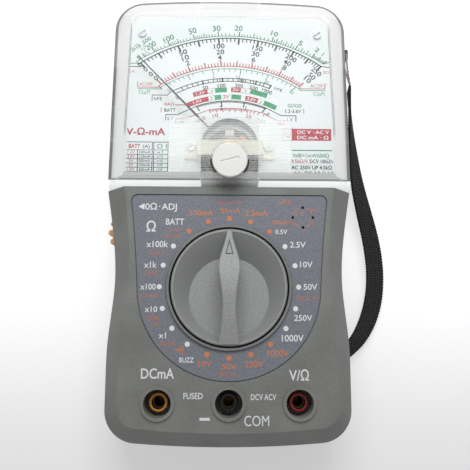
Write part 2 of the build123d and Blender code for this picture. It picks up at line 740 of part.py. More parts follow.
with BuildPart() as core_magnet:
    with BuildSketch(level(DECK_TOP)):
        with Locations((0, COIL_Y)):
            Circle(CORE_R)
    extrude(amount=YOKE_TOP - DECK_TOP)
    with BuildSketch(level(DECK_TOP - 2)):
        with Locations((0, COIL_Y)):
            Circle(PIVOT_R + 0.7)
    extrude(amount=DECK, mode=Mode.SUBTRACT)

with BuildPart() as core_bridges:
    with BuildSketch(level(DECK_TOP)):
        with Locations((0, COIL_Y)):
            Circle(YOKE_BORE)
            Circle(CORE_R, mode=Mode.SUBTRACT)
        with Locations((0, COIL_Y)):
            Rectangle(3.4, 3 * YOKE_BORE, mode=Mode.INTERSECT)
    extrude(amount=YOKE_TOP - DECK_TOP)


def coil_plane(angle):
    """An upright plane through the needle's axis, turned from +X by an angle."""
    a = radians(angle)
    return Plane(
        origin=(0, KNOB_Y + COIL_Y, 0), x_dir=(cos(a), sin(a), 0), z_dir=(sin(a), -cos(a), 0)
    )


with BuildPart() as moving_coil:
    with BuildSketch(coil_plane(COIL_ANGLE)):
        mid = (COIL_LOW + COIL_HIGH) / 2
        inner_half = CORE_R + 0.4
        with Locations((0, mid)):
            RectangleRounded(2 * (inner_half + COIL_THICKNESS), COIL_HIGH - COIL_LOW, 1.2)
            Rectangle(
                2 * inner_half, COIL_HIGH - COIL_LOW - 2 * COIL_THICKNESS + 0.6, mode=Mode.SUBTRACT
            )
    extrude(amount=COIL_SIDE / 2, both=True)

with BuildPart() as coil_pivots:
    for z, height in ((COIL_HIGH, JEWEL_TOP - COIL_HIGH), (JEWEL_LOW, COIL_LOW - JEWEL_LOW)):
        with BuildSketch(level(z)):
            with Locations((0, COIL_Y)):
                Circle(PIVOT_R)
        extrude(amount=height)
    for z in (COIL_HIGH, COIL_LOW - COLLET):
        with BuildSketch(level(z)):
            with Locations((0, COIL_Y)):
                Circle(COLLET_R)
        extrude(amount=COLLET)


def hairspring(z, turns):
    """A flat spiral strip about the needle's axis, wound out from the collet."""
    steps = int(turns * 12)
    inner, outer = [], []
    for i in range(steps + 1):
        a = 2 * pi * turns * i / steps
        r = COLLET_R + (HAIR_R - COLLET_R) * i / steps
        inner.append((r * cos(a), COIL_Y + r * sin(a)))
        outer.append(((r + HAIR) * cos(a), COIL_Y + (r + HAIR) * sin(a)))
    with BuildPart() as spring:
        with BuildSketch(level(z)):
            with BuildLine():
                Spline(*inner)
                Spline(*outer)
                Line(inner[0], outer[0])
                Line(inner[-1], outer[-1])
            make_face()
        extrude(amount=0.5)
    return spring


hairspring_upper = hairspring(COIL_HIGH + 0.2, 2.5)
hairspring_lower = hairspring(COIL_LOW - COLLET + 0.1, 2.5)

with BuildPart() as needle:
    root = level(NEEDLE).location * Location((0, COIL_Y, 0), (0, 0, REST_ANGLE))
    with BuildSketch(Plane(root)):
        with BuildLine():
            Polyline(
                (0, NEEDLE_ROOT / 2),
                (NEEDLE_LENGTH, NEEDLE_TIP / 2),
                (NEEDLE_LENGTH, -NEEDLE_TIP / 2),
                (0, -NEEDLE_ROOT / 2),
                close=True,
            )
        make_face()
        with Locations((-TAIL / 2, 0)):
            Rectangle(TAIL, 0.9)
        Rectangle(0.8, 2 * CROSS_ARM)
        Circle(COLLET_R)
        Circle(PIVOT_R, mode=Mode.SUBTRACT)
    extrude(amount=NEEDLE_THICKNESS)
    with BuildSketch(Plane(root).offset(-0.3)):
        with Locations((-TAIL, 0)):
            Circle(1.0)
        with Locations((0, CROSS_ARM), (0, -CROSS_ARM)):
            Circle(0.7)
    extrude(amount=NEEDLE_THICKNESS + 0.6)

with BuildPart() as upper_bridge:
    with BuildSketch(across(COIL_Y + BRIDGE_HALF)):
        with BuildLine():
            Polyline(
                (-BRIDGE_FOOT, DIAL),
                (-BRIDGE_FOOT, DIAL + 1),
                (-BRIDGE_LEG - 1, DIAL + 1),
                (-BRIDGE_LEG, BRIDGE_TOP),
                (BRIDGE_LEG, BRIDGE_TOP),
                (BRIDGE_LEG + 1, DIAL + 1),
                (BRIDGE_FOOT, DIAL + 1),
                (BRIDGE_FOOT, DIAL),
                (BRIDGE_LEG, DIAL),
                (BRIDGE_LEG - 1, BRIDGE_LOW),
                (-BRIDGE_LEG + 1, BRIDGE_LOW),
                (-BRIDGE_LEG, DIAL),
                close=True,
            )
        make_face()
    extrude(amount=2 * BRIDGE_HALF)
    with BuildSketch(level(BRIDGE_LOW - 0.1)):
        with Locations((0, COIL_Y)):
            Circle(JEWEL_R + RUNNING)
    extrude(amount=3, mode=Mode.SUBTRACT)
    with BuildSketch(level(DIAL - 1)):
        with Locations(*PILLARS[:2]):
            Circle(PLATE_SCREW_R + 0.1)
    extrude(amount=3, mode=Mode.SUBTRACT)

with BuildPart() as lower_bridge:
    with BuildSketch(across(COIL_Y + BRIDGE_HALF)):
        with BuildLine():
            Polyline(
                (-LOWER_FOOT, PART_LINE),
                (-LOWER_LEG, PART_LINE),
                (-LOWER_LEG, LOWER_TOP),
                (LOWER_LEG, LOWER_TOP),
                (LOWER_LEG, PART_LINE),
                (LOWER_FOOT, PART_LINE),
                (LOWER_FOOT, LOWER_TOP - 1.4),
                (-LOWER_FOOT, LOWER_TOP - 1.4),
                close=True,
            )
        make_face()
    extrude(amount=2 * BRIDGE_HALF)
    with BuildSketch(level(LOWER_TOP - 2)):
        with Locations((0, COIL_Y)):
            Circle(JEWEL_R + RUNNING)
    extrude(amount=3, mode=Mode.SUBTRACT)

with BuildPart() as jewel_screws:
    for low, high, cup in (
        (JEWEL_TOP - 0.6, LEVER_Z + 1.0, JEWEL_TOP - 0.6),
        (LOWER_TOP - 1.6, JEWEL_LOW + 0.6, JEWEL_LOW),
    ):
        with BuildSketch(level(low)):
            with Locations((0, COIL_Y)):
                Circle(JEWEL_R)
        extrude(amount=high - low)
        with BuildSketch(level(cup)):
            with Locations((0, COIL_Y)):
                Circle(PIVOT_R + RUNNING)
        extrude(amount=0.6, mode=Mode.SUBTRACT)

with BuildPart() as zero_lever:
    with BuildSketch(level(LEVER_Z)):
        with Locations((0, COIL_Y)):
            Circle(JEWEL_R + 1.6)
        with Locations((0, (COIL_Y + ADJUSTER_Y - PIN_ECCENTRIC - 1.2) / 2)):
            Rectangle(2.8, COIL_Y - ADJUSTER_Y + PIN_ECCENTRIC + 1.2)
        with Locations((0, COIL_Y)):
            Circle(JEWEL_R + RUNNING, mode=Mode.SUBTRACT)
        with Locations((0, ADJUSTER_Y - PIN_ECCENTRIC - 1)):
            Rectangle(2 * PIN_R + 0.2, 4, mode=Mode.SUBTRACT)
    extrude(amount=LEVER_THICKNESS)

with BuildPart() as plate_screws:
    for (x, y), seat in zip(PILLARS, (DIAL + 1, DIAL + 1, DIAL, DIAL)):
        with BuildSketch(level(DIAL - PLATE_THICKNESS - 3.6)):
            with Locations((x, y)):
                Circle(PLATE_SCREW_R)
        extrude(amount=seat - DIAL + PLATE_THICKNESS + 3.6)
        with BuildSketch(level(seat)):
            with Locations((x, y)):
                Circle(1.7)
                Rectangle(3, 0.5, rotation=35, mode=Mode.SUBTRACT)
        extrude(amount=0.9)

# ---------------------------------------------------------------- range switch
KNOB_LOW = WELL_FLOOR + 0.6
KNOB_RIM = FACE + 0.7
DISH_FLOOR = 28.0
DISH_R = KNOB_R - 0.9
DISH_FLOOR_R = KNOB_R - 6.5
DISH_OFFSET = -3.7
BAR_CREST = 39.6
BAR_TIP_Y = KNOB_R - 0.2
BAR_FOOT_Y = 0.5 - KNOB_R
BAR_TIP_HALF = 0.95
BAR_FOOT_HALF = 4.25
# The grip bar's plan between its ends: place as a share of the knob's radius, half width.
BAR_PLAN = [(0.665, 2.5), (0.344, 4.05), (0.07, 3.4), (-0.248, 2.6), (-0.62, 3.0)]
MARK_TIP_Y = BAR_TIP_Y - 3.5
MARK_FOOT_Y = BAR_TIP_Y - 9.7
MARK_HALF = 1.6
MARK_DEPTH = 0.3
ROTOR_TOP = 15.2
ROTOR_LOW = 13.6
ROTOR_R = 17.5
DRIVE = 7.0
CLIP_Z = 18.9
CLIP = 0.7
CLIP_GROOVE_R = 5.2
WIPER = 0.3
WIPER_START = 7.0
WIPER_END = ROTOR_R - 1.5


def bar_side(lift):
    """The grip bar's side view: low at its tip and foot, high in the middle."""
    with BuildSketch(side(-6)) as view:
        with BuildLine():
            Spline(
                (BAR_TIP_Y, KNOB_RIM + 0.1 + lift),
                (12.0, BAR_CREST - 2.2 + lift),
                (2.0, BAR_CREST + lift),
                (-10.0, BAR_CREST - 1.2 + lift),
                (BAR_FOOT_Y, KNOB_RIM + 0.6 + lift),
            )
            Polyline(
                (BAR_TIP_Y, KNOB_RIM + 0.1 + lift),
                (BAR_TIP_Y, DISH_FLOOR - 1),
                (BAR_FOOT_Y, DISH_FLOOR - 1),
                (BAR_FOOT_Y, KNOB_RIM + 0.6 + lift),
            )
        make_face()
    return view.sketch


with BuildPart() as grip_bar:
    with BuildSketch(level(DISH_FLOOR - 1)):
        with BuildLine():
            for s in (-1, 1):
                Spline(
                    (s * BAR_TIP_HALF, BAR_TIP_Y),
                    *[(s * half, share * KNOB_R) for share, half in BAR_PLAN],
                    (s * BAR_FOOT_HALF, BAR_FOOT_Y),
                )
            Line((-BAR_TIP_HALF, BAR_TIP_Y), (BAR_TIP_HALF, BAR_TIP_Y))
            Line((-BAR_FOOT_HALF, BAR_FOOT_Y), (BAR_FOOT_HALF, BAR_FOOT_Y))
        make_face()
    extrude(amount=14)
    extrude(bar_side(0), amount=12, mode=Mode.INTERSECT)
    top_edges = grip_bar.faces().sort_by(Axis.Z)[-1].edges()
    fillet(top_edges, 0.6)

with BuildPart() as pointer_mark:
    with BuildSketch(level(DISH_FLOOR)):
        for line, mode in ((0, Mode.ADD), (0.42, Mode.SUBTRACT)):
            with BuildLine():
                Polyline(
                    (0, MARK_TIP_Y - 3 * line),
                    (MARK_HALF - 1.3 * line, MARK_FOOT_Y + line),
                    (-MARK_HALF + 1.3 * line, MARK_FOOT_Y + line),
                    close=True,
                )
            make_face(mode=mode)
    extrude(amount=14)
    extrude(bar_side(-MARK_DEPTH), amount=12, mode=Mode.SUBTRACT)

with BuildPart() as range_knob:
    with BuildSketch(level(KNOB_LOW)):
        Circle(KNOB_R)
    extrude(amount=KNOB_RIM - KNOB_LOW)
    chamfer(range_knob.edges().group_by(Axis.Z)[-1], 0.45)
    with BuildSketch(level(DISH_FLOOR)):
        with Locations((0, DISH_OFFSET)):
            Circle(DISH_FLOOR_R)
    with BuildSketch(level(KNOB_RIM)):
        Circle(DISH_R)
    loft(mode=Mode.SUBTRACT)
    add(grip_bar.part)
    add(pointer_mark.part, mode=Mode.SUBTRACT)
    with BuildSketch(level(ROTOR_TOP)):
        Circle(HUB_R)
    extrude(amount=KNOB_LOW - ROTOR_TOP)
    with BuildSketch(level(ROTOR_LOW)):
        Rectangle(DRIVE, DRIVE)
    extrude(amount=ROTOR_TOP - ROTOR_LOW)
    with BuildSketch(level(CLIP_Z)):
        Circle(HUB_R + 1)
        Circle(CLIP_GROOVE_R, mode=Mode.SUBTRACT)
    extrude(amount=CLIP, mode=Mode.SUBTRACT)
    with BuildSketch(level(ROTOR_LOW - 1)):
        Circle(1.2)
    extrude(amount=8, mode=Mode.SUBTRACT)
    with Locations((0, KNOB_Y, KNOB_LOW - 1.2)):
        with PolarLocations(DETENT_CIRCLE, POSITIONS, start_angle=DETENT_ANGLES[0]):
            Sphere(BALL_R, mode=Mode.SUBTRACT)

with BuildPart() as knob_clip:
    with BuildSketch(level(CLIP_Z)):
        Circle(HUB_R + 2.2)
        Circle(CLIP_GROOVE_R, mode=Mode.SUBTRACT)
        with Locations((0, -HUB_R)):
            Rectangle(2 * CLIP_GROOVE_R - 1.5, 6, mode=Mode.SUBTRACT)
    extrude(amount=CLIP)

with BuildPart() as switch_rotor:
    with BuildSketch(level(ROTOR_LOW)):
        Circle(ROTOR_R)
        Rectangle(DRIVE + 0.1, DRIVE + 0.1, mode=Mode.SUBTRACT)
        with PolarLocations(10.8, 3, start_angle=90):
            Circle(2.2, mode=Mode.SUBTRACT)
    extrude(amount=ROTOR_TOP - ROTOR_LOW)

with BuildPart() as wipers:
    for angle in (30, 150, 270):
        a = radians(angle)
        upright = Plane(
            origin=(0, KNOB_Y, 0), x_dir=(cos(a), sin(a), 0), z_dir=(sin(a), -cos(a), 0)
        )
        with BuildSketch(upright):
            with BuildLine():
                Polyline(
                    (WIPER_START, ROTOR_LOW),
                    (WIPER_END, ROTOR_LOW),
                    (WIPER_END, ROTOR_LOW - WIPER),
                    (WIPER_END - 4.0, ROTOR_LOW - WIPER),
                    (WIPER_END - 1.0, BOARD + WIPER + 0.1),
                    (WIPER_END - 1.5, BOARD + 0.1),
                    (WIPER_START + 3.0, ROTOR_LOW - WIPER),
                    (WIPER_START, ROTOR_LOW - WIPER),
                    close=True,
                )
            make_face()
        extrude(amount=1.5, both=True)

with BuildPart() as rotor_screw:
    with BuildSketch(level(ROTOR_LOW)):
        Circle(1.15)
    extrude(amount=5.5)
    with BuildSketch(level(ROTOR_LOW - 1.6)):
        Circle(4.2)
    extrude(amount=1.6)
    with BuildSketch(level(ROTOR_LOW - 1.7)):
        Rectangle(5, 0.8)
        Rectangle(0.8, 5)
    extrude(amount=0.8, mode=Mode.SUBTRACT)

with BuildPart() as detent_balls:
    with Locations((0, KNOB_Y, KNOB_LOW - 0.05 - BALL_R)):
        with PolarLocations(DETENT_CIRCLE, len(DETENT_ANGLES), start_angle=DETENT_ANGLES[0]):
            Sphere(BALL_R)

with BuildPart() as detent_springs:
    with BuildSketch(level(DETENT_FLOOR)):
        with PolarLocations(DETENT_CIRCLE, len(DETENT_ANGLES), start_angle=DETENT_ANGLES[0]):
            Circle(1.5)
            Circle(1.1, mode=Mode.SUBTRACT)
    extrude(amount=KNOB_LOW - 0.05 - 2 * BALL_R - DETENT_FLOOR + 0.35)

# ---------------------------------------------------------------- jacks
SLEEVE_LOW = BOARD
SLEEVE_TOP = BUSH_TOP - 4.0
BUSH_LOW = 15.0


def jack_bush(x):
    """A coloured bush pressed into its jack tube, with a shoulder under the tube's floor."""
    with BuildPart() as bush:
        with BuildSketch(level(BUSH_LOW)):
            with Locations((x, JACK_Y)):
                Circle(JACK_BUSH_R)
        extrude(amount=BUSH_TOP - BUSH_LOW)
        fillet(bush.edges().group_by(Axis.Z)[-1], 0.4)
        with BuildSketch(level(BUSH_LOW)):
            with Locations((x, JACK_Y)):
                Circle(JACK_BUSH_R + 1.4)
        extrude(amount=JACK_FLOOR - DECK - BUSH_LOW)
        with BuildSketch(level(BUSH_LOW)):
            with Locations((x, JACK_Y)):
                Circle(JACK_SLEEVE_R)
        extrude(amount=SLEEVE_TOP - BUSH_LOW, mode=Mode.SUBTRACT)
        with BuildSketch(level(SLEEVE_TOP)):
            with Locations((x, JACK_Y)):
                Circle(JACK_BORE + 0.35)
        extrude(amount=BUSH_TOP, mode=Mode.SUBTRACT)
    return bush


jack_bush_left = jack_bush(-JACK_X)
jack_bush_centre = jack_bush(0)
jack_bush_right = jack_bush(JACK_X)

with BuildPart() as jack_sleeves:
    with BuildSketch(level(SLEEVE_LOW)):
        with Locations(*jack_places):
            Circle(JACK_SLEEVE_R)
    extrude(amount=SLEEVE_TOP - SLEEVE_LOW)
    with BuildSketch(level(SLEEVE_LOW + 1.2)):
        with Locations(*jack_places):
            Circle(JACK_BORE)
    extrude(amount=SLEEVE_TOP, mode=Mode.SUBTRACT)
    with BuildSketch(level(BOARD_LOW - 1.4)):
        with Locations(*jack_places):
            Circle(0.8)
    extrude(amount=BOARD_THICKNESS + 1.4)

# ---------------------------------------------------------------- circuit board and what it carries
BOARD_HALF = 40.2
BOARD_TOP_Y = 37.0
BOARD_SHOULDER_Y = -24.5
BOARD_WAIST_HALF = 37.2
BOARD_WAIST_Y = -37.0
TONGUE_BOARD_HALF = 32.4
BOARD_LOW_Y = -50.0
FUSE_Y = -29.5
FUSE_R = 2.6
FUSE_LENGTH = 20.0
FUSE_Z = 16.4
BUZZER_X = -27.5
BUZZER_Y = -15.5
BUZZER_R = 6.0
RESISTOR_R = 1.15
RESISTOR_LENGTH = 6.0
RESISTOR_Z = BOARD + 1.5
RESISTOR_LEG_X = RESISTOR_LENGTH / 2 + 1.5
LEAD_R = 0.3
POT_HEIGHT = 3.0
POT_WIDTH = 9.8
POT_LENGTH = 10.6
POT_SHAFT_R = 1.5
RESISTORS = [(29.0, y) for y in (-14.0, -8.5, -3.0, 2.5, 8.0)] + [(-28.0, y) for y in (-6.5, -1.0, 4.5, 10.0)]

with BuildPart() as circuit_board:
    with BuildSketch(level(BOARD_LOW)):
        with Locations((0, (BOARD_TOP_Y + BOARD_SHOULDER_Y) / 2)):
            RectangleRounded(2 * BOARD_HALF, BOARD_TOP_Y - BOARD_SHOULDER_Y, 2)
        with Locations((0, BOARD_WAIST_Y / 2)):
            RectangleRounded(2 * BOARD_WAIST_HALF, -BOARD_WAIST_Y, 2)
        with Locations((0, BOARD_LOW_Y / 2)):
            RectangleRounded(2 * TONGUE_BOARD_HALF, -BOARD_LOW_Y, 2)
        Circle(5.0, mode=Mode.SUBTRACT)
        with Locations(*jack_places):
            Circle(0.8 + RUNNING, mode=Mode.SUBTRACT)
        for x, y in RESISTORS:
            with Locations((x, y)):
                with GridLocations(2 * RESISTOR_LEG_X, 1, 2, 1):
                    Circle(LEAD_R + 0.06 + RUNNING, mode=Mode.SUBTRACT)
    extrude(amount=BOARD_THICKNESS)

with BuildPart() as contact_tracks:
    with BuildSketch(level(BOARD)):
        for r in (6.6, 9.6, 12.6):
            with Locations((0, 0)):
                Circle(r + 0.7)
                Circle(r - 0.7, mode=Mode.SUBTRACT)
    extrude(amount=0.05)

with BuildPart() as resistors:
    for x, y in RESISTORS:
        with BuildSketch(side(x - RESISTOR_LENGTH / 2)):
            with Locations((y, RESISTOR_Z)):
                Circle(RESISTOR_R)
        extrude(amount=RESISTOR_LENGTH)
        with BuildSketch(side(x - RESISTOR_LEG_X)):
            with Locations((y, RESISTOR_Z)):
                Circle(LEAD_R)
        extrude(amount=2 * RESISTOR_LEG_X)
        with BuildSketch(level(BOARD_LOW - 0.8)):
            with Locations((x, y)):
                with GridLocations(2 * RESISTOR_LEG_X, 1, 2, 1):
                    Circle(LEAD_R + 0.06)
        extrude(amount=RESISTOR_Z + LEAD_R + 0.06 - BOARD_LOW + 0.8)

with BuildPart() as fuse:
    with BuildSketch(side(-FUSE_LENGTH / 2 + 0.5)):
        with Locations((FUSE_Y, FUSE_Z)):
            Circle(FUSE_R - 0.3)
    extrude(amount=FUSE_LENGTH - 1)
    for x in (-FUSE_LENGTH / 2, FUSE_LENGTH / 2 - 5):
        with BuildSketch(side(x)):
            with Locations((FUSE_Y, FUSE_Z)):
                Circle(FUSE_R)
        extrude(amount=5)

with BuildPart() as fuse_clips:
    for x in (-FUSE_LENGTH / 2 + 1, FUSE_LENGTH / 2 - 4):
        with BuildSketch(side(x)):
            with Locations((FUSE_Y, FUSE_Z)):
                Circle(FUSE_R + 0.45)
                Circle(FUSE_R, mode=Mode.SUBTRACT)
                with Locations((0, 3.2)):
                    Rectangle(5, 4, mode=Mode.SUBTRACT)
            with Locations((FUSE_Y, (BOARD + FUSE_Z - FUSE_R) / 2)):
                Rectangle(3.2, FUSE_Z - FUSE_R - BOARD)
        extrude(amount=3)

with BuildPart() as buzzer:
    with BuildSketch(level(BOARD)):
        with Locations((BUZZER_X, BUZZER_Y)):
            Circle(BUZZER_R)
    extrude(amount=6.5)
    fillet(buzzer.edges().group_by(Axis.Z)[-1], 0.6)
    with BuildSketch(level(BOARD + 4.5)):
        with Locations((BUZZER_X, BUZZER_Y)):
            Circle(1.1)
    extrude(amount=3, mode=Mode.SUBTRACT)

with BuildPart() as ohm_potentiometer:
    with BuildSketch(level(BOARD)):
        with Locations((-BOARD_HALF + 3.4, WHEEL_Y)):
            RectangleRounded(POT_WIDTH, POT_LENGTH, 1.0)
    extrude(amount=POT_HEIGHT)
    with BuildSketch(level(BOARD + 0.8)):
        with Locations((WHEEL_X, WHEEL_Y)):
            Circle(POT_SHAFT_R + RUNNING)
    extrude(amount=POT_HEIGHT, mode=Mode.SUBTRACT)

with BuildPart() as ohm_wheel:
    with BuildSketch(level(WHEEL_LOW)):
        with Locations((WHEEL_X, WHEEL_Y)):
            Circle(WHEEL_R - 1.5)
            with PolarLocations(WHEEL_R - LOBE_R, WHEEL_LOBES, start_angle=180):
                Circle(LOBE_R)
    extrude(amount=WHEEL_HIGH - WHEEL_LOW)
    chamfer(ohm_wheel.edges().group_by(Axis.Z)[-1] + ohm_wheel.edges().group_by(Axis.Z)[0], 0.35)
    with BuildSketch(level(BOARD + 1.0)):
        with Locations((WHEEL_X, WHEEL_Y)):
            Circle(POT_SHAFT_R)
    extrude(amount=WHEEL_LOW - BOARD - 1.0)

with BuildPart() as hfe_socket:
    with BuildSketch(level(CEILING - 7)):
        with Locations((HFE_X, HFE_Y)):
            Circle(5.2)
            with PolarLocations(HFE_CIRCLE, 4):
                Circle(0.75, mode=Mode.SUBTRACT)
    extrude(amount=7)

with BuildPart() as hfe_contacts:
    with BuildSketch(level(CEILING - 8.5)):
        with Locations((HFE_X, HFE_Y)):
            with PolarLocations(HFE_CIRCLE, 4):
                Circle(0.75)
    extrude(amount=8)
    with BuildSketch(level(CEILING - 6)):
        with Locations((HFE_X, HFE_Y)):
            with PolarLocations(HFE_CIRCLE, 4):
                Circle(0.5)
    extrude(amount=8, mode=Mode.SUBTRACT)

# ---------------------------------------------------------------- batteries, their contacts and door
CELL_Z = DOOR_THICKNESS + FOOT_CLEAR + CELL_R
BLOCK_Z = DOOR_THICKNESS + FOOT_CLEAR
CONTACT = 0.4
CONTACT_PLATE = 9.0


def round_cell(y):
    """A round cell lying across the case, its button toward +X."""
    with BuildPart() as cell:
        with BuildSketch(side(CELL_LEFT)):
            with Locations((y, CELL_Z)):
                Circle(CELL_R)
        extrude(amount=CELL_LENGTH - 1.2)
        fillet(cell.edges().group_by(Axis.X)[-1], 0.6)
        with BuildSketch(side(CELL_RIGHT - 1.2)):
            with Locations((y, CELL_Z)):
                Circle(2.7)
        extrude(amount=1.2)
    return cell


round_cell_1 = round_cell(CELL_ROWS[0])
round_cell_2 = round_cell(CELL_ROWS[1])

with BuildPart() as cell_contacts:
    for y in CELL_ROWS:
        with BuildSketch(side(CELL_RIGHT + 0.1)):
            with Locations((y, CELL_Z)):
                RectangleRounded(CONTACT_PLATE, CONTACT_PLATE, 1.5)
        extrude(amount=DIVIDER_X - CELL_RIGHT - 0.1)
        with BuildSketch(level(CELL_Z - 3)):
            with BuildLine():
                Polyline(
                    (-CELL_WALL_X, y - 5),
                    (CELL_LEFT - 0.1, y),
                    (-CELL_WALL_X, y + 5),
                    (-CELL_WALL_X, y + 5 - 1.2),
                    (CELL_LEFT - 0.1 - CONTACT, y),
                    (-CELL_WALL_X, y - 5 + 1.2),
                    close=True,
                )
            make_face()
        extrude(amount=6)

with BuildPart() as block_battery:
    with BuildSketch(level(BLOCK_Z)):
        with Locations((BLOCK_LEFT + BLOCK_WIDTH / 2, BLOCK_Y + BLOCK_LENGTH / 2)):
            RectangleRounded(BLOCK_WIDTH, BLOCK_LENGTH, 2.0)
    extrude(amount=BLOCK_DEPTH)
    for dx, r in ((-6.35, 2.9), (6.35, 3.8)):
        with BuildSketch(across(BLOCK_Y)):
            with Locations((BLOCK_LEFT + BLOCK_WIDTH / 2 + dx, BLOCK_Z + BLOCK_DEPTH / 2)):
                Circle(r)
        extrude(amount=2.4)

with BuildPart() as block_connector:
    with BuildSketch(across(BLOCK_Y - 0.1)):
        with Locations((BLOCK_LEFT + BLOCK_WIDTH / 2, BLOCK_Z + BLOCK_DEPTH / 2)):
            RectangleRounded(24, 12, 2)
            with Locations((-6.35, 0)):
                Circle(3.0, mode=Mode.SUBTRACT)
            with Locations((6.35, 0)):
                Circle(3.9, mode=Mode.SUBTRACT)
    extrude(amount=BLOCK_Y - BAY_Y - BAY_WALL - 0.2)

with BuildPart() as battery_door:
    with BuildSketch(level(0)):
        add(door_outline(0, DOOR_GAP, DOOR_GAP).moved(Location((0, -KNOB_Y, 0))))
    extrude(amount=DOOR_THICKNESS - 0.05)
    with BuildSketch(level(0)):
        with Locations((-DOOR_TAB_X, DOOR_TAB_Y), (DOOR_TAB_X, DOOR_TAB_Y)):
            Circle(DOOR_SHANK_R + RUNNING)
    extrude(amount=4, mode=Mode.SUBTRACT)
    with BuildSketch(level(0)):
        with Locations((-DOOR_TAB_X, DOOR_TAB_Y), (DOOR_TAB_X, DOOR_TAB_Y)):
            Circle(DOOR_SCREW_R + 0.1)
    extrude(amount=DOOR_SCREW_HEAD, mode=Mode.SUBTRACT)
    # Finger grooves across the door's back.
    with BuildSketch(level(0)):
        with Locations((0, DOOR_LOW_Y + 9)):
            with GridLocations(1, 2.4, 1, 5):
                SlotOverall(22, 1.1)
    extrude(amount=0.5, mode=Mode.SUBTRACT)

with BuildPart() as door_screws:
    with BuildSketch(level(0.1)):
        with Locations((-DOOR_TAB_X, DOOR_TAB_Y), (DOOR_TAB_X, DOOR_TAB_Y)):
            Circle(DOOR_SCREW_R)
            Rectangle(3.0, 0.6, mode=Mode.SUBTRACT)
            Rectangle(0.6, 3.0, mode=Mode.SUBTRACT)
    extrude(amount=0.5)
    with BuildSketch(level(0.6)):
        with Locations((-DOOR_TAB_X, DOOR_TAB_Y), (DOOR_TAB_X, DOOR_TAB_Y)):
            Circle(DOOR_SCREW_R)
    extrude(amount=DOOR_SCREW_HEAD - 0.6)
    with BuildSketch(level(DOOR_SCREW_HEAD)):
        with Locations((-DOOR_TAB_X, DOOR_TAB_Y), (DOOR_TAB_X, DOOR_TAB_Y)):
            Circle(DOOR_SHANK_R)
    extrude(amount=DOOR_SCREW_TIP - DOOR_SCREW_HEAD)

with BuildPart() as case_screws:
    with BuildSketch(level(SCREW_SEAT - SCREW_HEAD)):
        with Locations(*SCREW_PLACES):
            Circle(SCREW_HEAD_R)
            Rectangle(3.6, 0.8, mode=Mode.SUBTRACT)
            Rectangle(0.8, 3.6, mode=Mode.SUBTRACT)
    extrude(amount=1.0)
    with BuildSketch(level(SCREW_SEAT - SCREW_HEAD + 1.0)):
        with Locations(*SCREW_PLACES):
            Circle(SCREW_HEAD_R)
    extrude(amount=SCREW_HEAD - 1.0)
    with BuildSketch(level(SCREW_SEAT)):
        with Locations(*SCREW_PLACES):
            Circle(SCREW_SHANK_R)
    extrude(amount=SCREW_TIP - SCREW_SEAT)

# ---------------------------------------------------------------- wrist strap
LUG_OUT = HALF_END + 2.9
LUG_LENGTH = 4.8
LUG_HEIGHT = 3.6
LUG_EYE_R = 0.6
THREAD_R = 0.42
LUG_EYE_X = HALF_END + 1.8

with BuildPart() as strap_lug:
    with BuildSketch(side(HALF_TOP - 3)):
        with Locations((LUG_Y, LUG_Z)):
            RectangleRounded(LUG_LENGTH, LUG_HEIGHT, 1.2)
    extrude(amount=LUG_OUT - HALF_TOP + 3)
    fillet(strap_lug.edges().group_by(Axis.X)[-1], 0.3)
    extrude(case_outline(0, -RUNNING), amount=PART_LINE, mode=Mode.SUBTRACT)
    with BuildSketch(side(LUG_SEAT_X - LUG_HEAD)):
        with Locations((LUG_Y, LUG_Z)):
            Circle(LUG_HOLE_R - RUNNING)
    extrude(amount=HALF_TOP + 0.4 - LUG_SEAT_X + LUG_HEAD)
    with BuildSketch(side(LUG_SEAT_X - LUG_HEAD)):
        with Locations((LUG_Y, LUG_Z)):
            Circle(LUG_HEAD_R)
    extrude(amount=LUG_HEAD - RUNNING)
    with BuildSketch(level(0)):
        with Locations((LUG_EYE_X, LUG_Y)):
            Circle(LUG_EYE_R)
    extrude(amount=2 * PART_LINE, mode=Mode.SUBTRACT)

# Route of the strap's centre line, from its sewn end by the lug to the anchor post.
STRAP_ROUTE = [
    (51.5, 86.6, 15.0),
    (52.0, 75.0, 14.0),
    (53.2, 61.0, 11.8),
    (55.6, 47.0, 8.9),
    (59.5, 33.5, 6.3),
    (62.9, 21.0, 4.7),
    (64.2, 8.0, 4.4),
    (62.9, -4.0, 4.5),
    (58.8, -14.5, 5.4),
    (52.0, -23.0, 7.4),
    (42.2, -30.4, 9.2),
]
THREAD_ROUTE = [
    (51.2, 86.75, 18.6),
    (LUG_EYE_X + 0.8, 91.6, 20.3),
    (LUG_EYE_X + 0.1, 97.0, 21.7),
    (LUG_EYE_X, LUG_Y, 21.7),
    (LUG_EYE_X, LUG_Y, 15.5),
    (LUG_EYE_X + 0.3, 97.0, 15.5),
    (LUG_EYE_X + 1.5, 91.6, 15.8),
    (51.9, 86.75, 16.2),
]
# How far the strap's width leans outward from upright, degrees, by share of its length.
STRAP_LEAN = [
    (0.0, 8),
    (0.10, 12),
    (0.19, 23),
    (0.28, 32),
    (0.36, 39),
    (0.50, 45),
    (0.80, 45),
    (0.90, 36),
    (1.0, 22),
]
STRAP_SECTIONS = 36


def knob_frame(route):
    """Route points, measured from the knob's axis, as points of the part."""
    return [Vector(x, y + KNOB_Y, z) for x, y, z in route]


def corner_radii(points):
    """For each corner, the largest arc that its two runs allow."""
    radii = []
    for before, here, after in zip(points, points[1:], points[2:]):
        turn = (here - before).get_angle(after - here)
        run = min((here - before).length, (after - here).length)
        radii.append(0.45 * run / tan(radians(turn) / 2))
    return radii


strap_points = knob_frame(STRAP_ROUTE)
strap_radii = corner_radii(strap_points)
with BuildLine() as strap_path:
    FilletPolyline(*strap_points, radius=strap_radii)
strap_wire = strap_path.wires()[0]


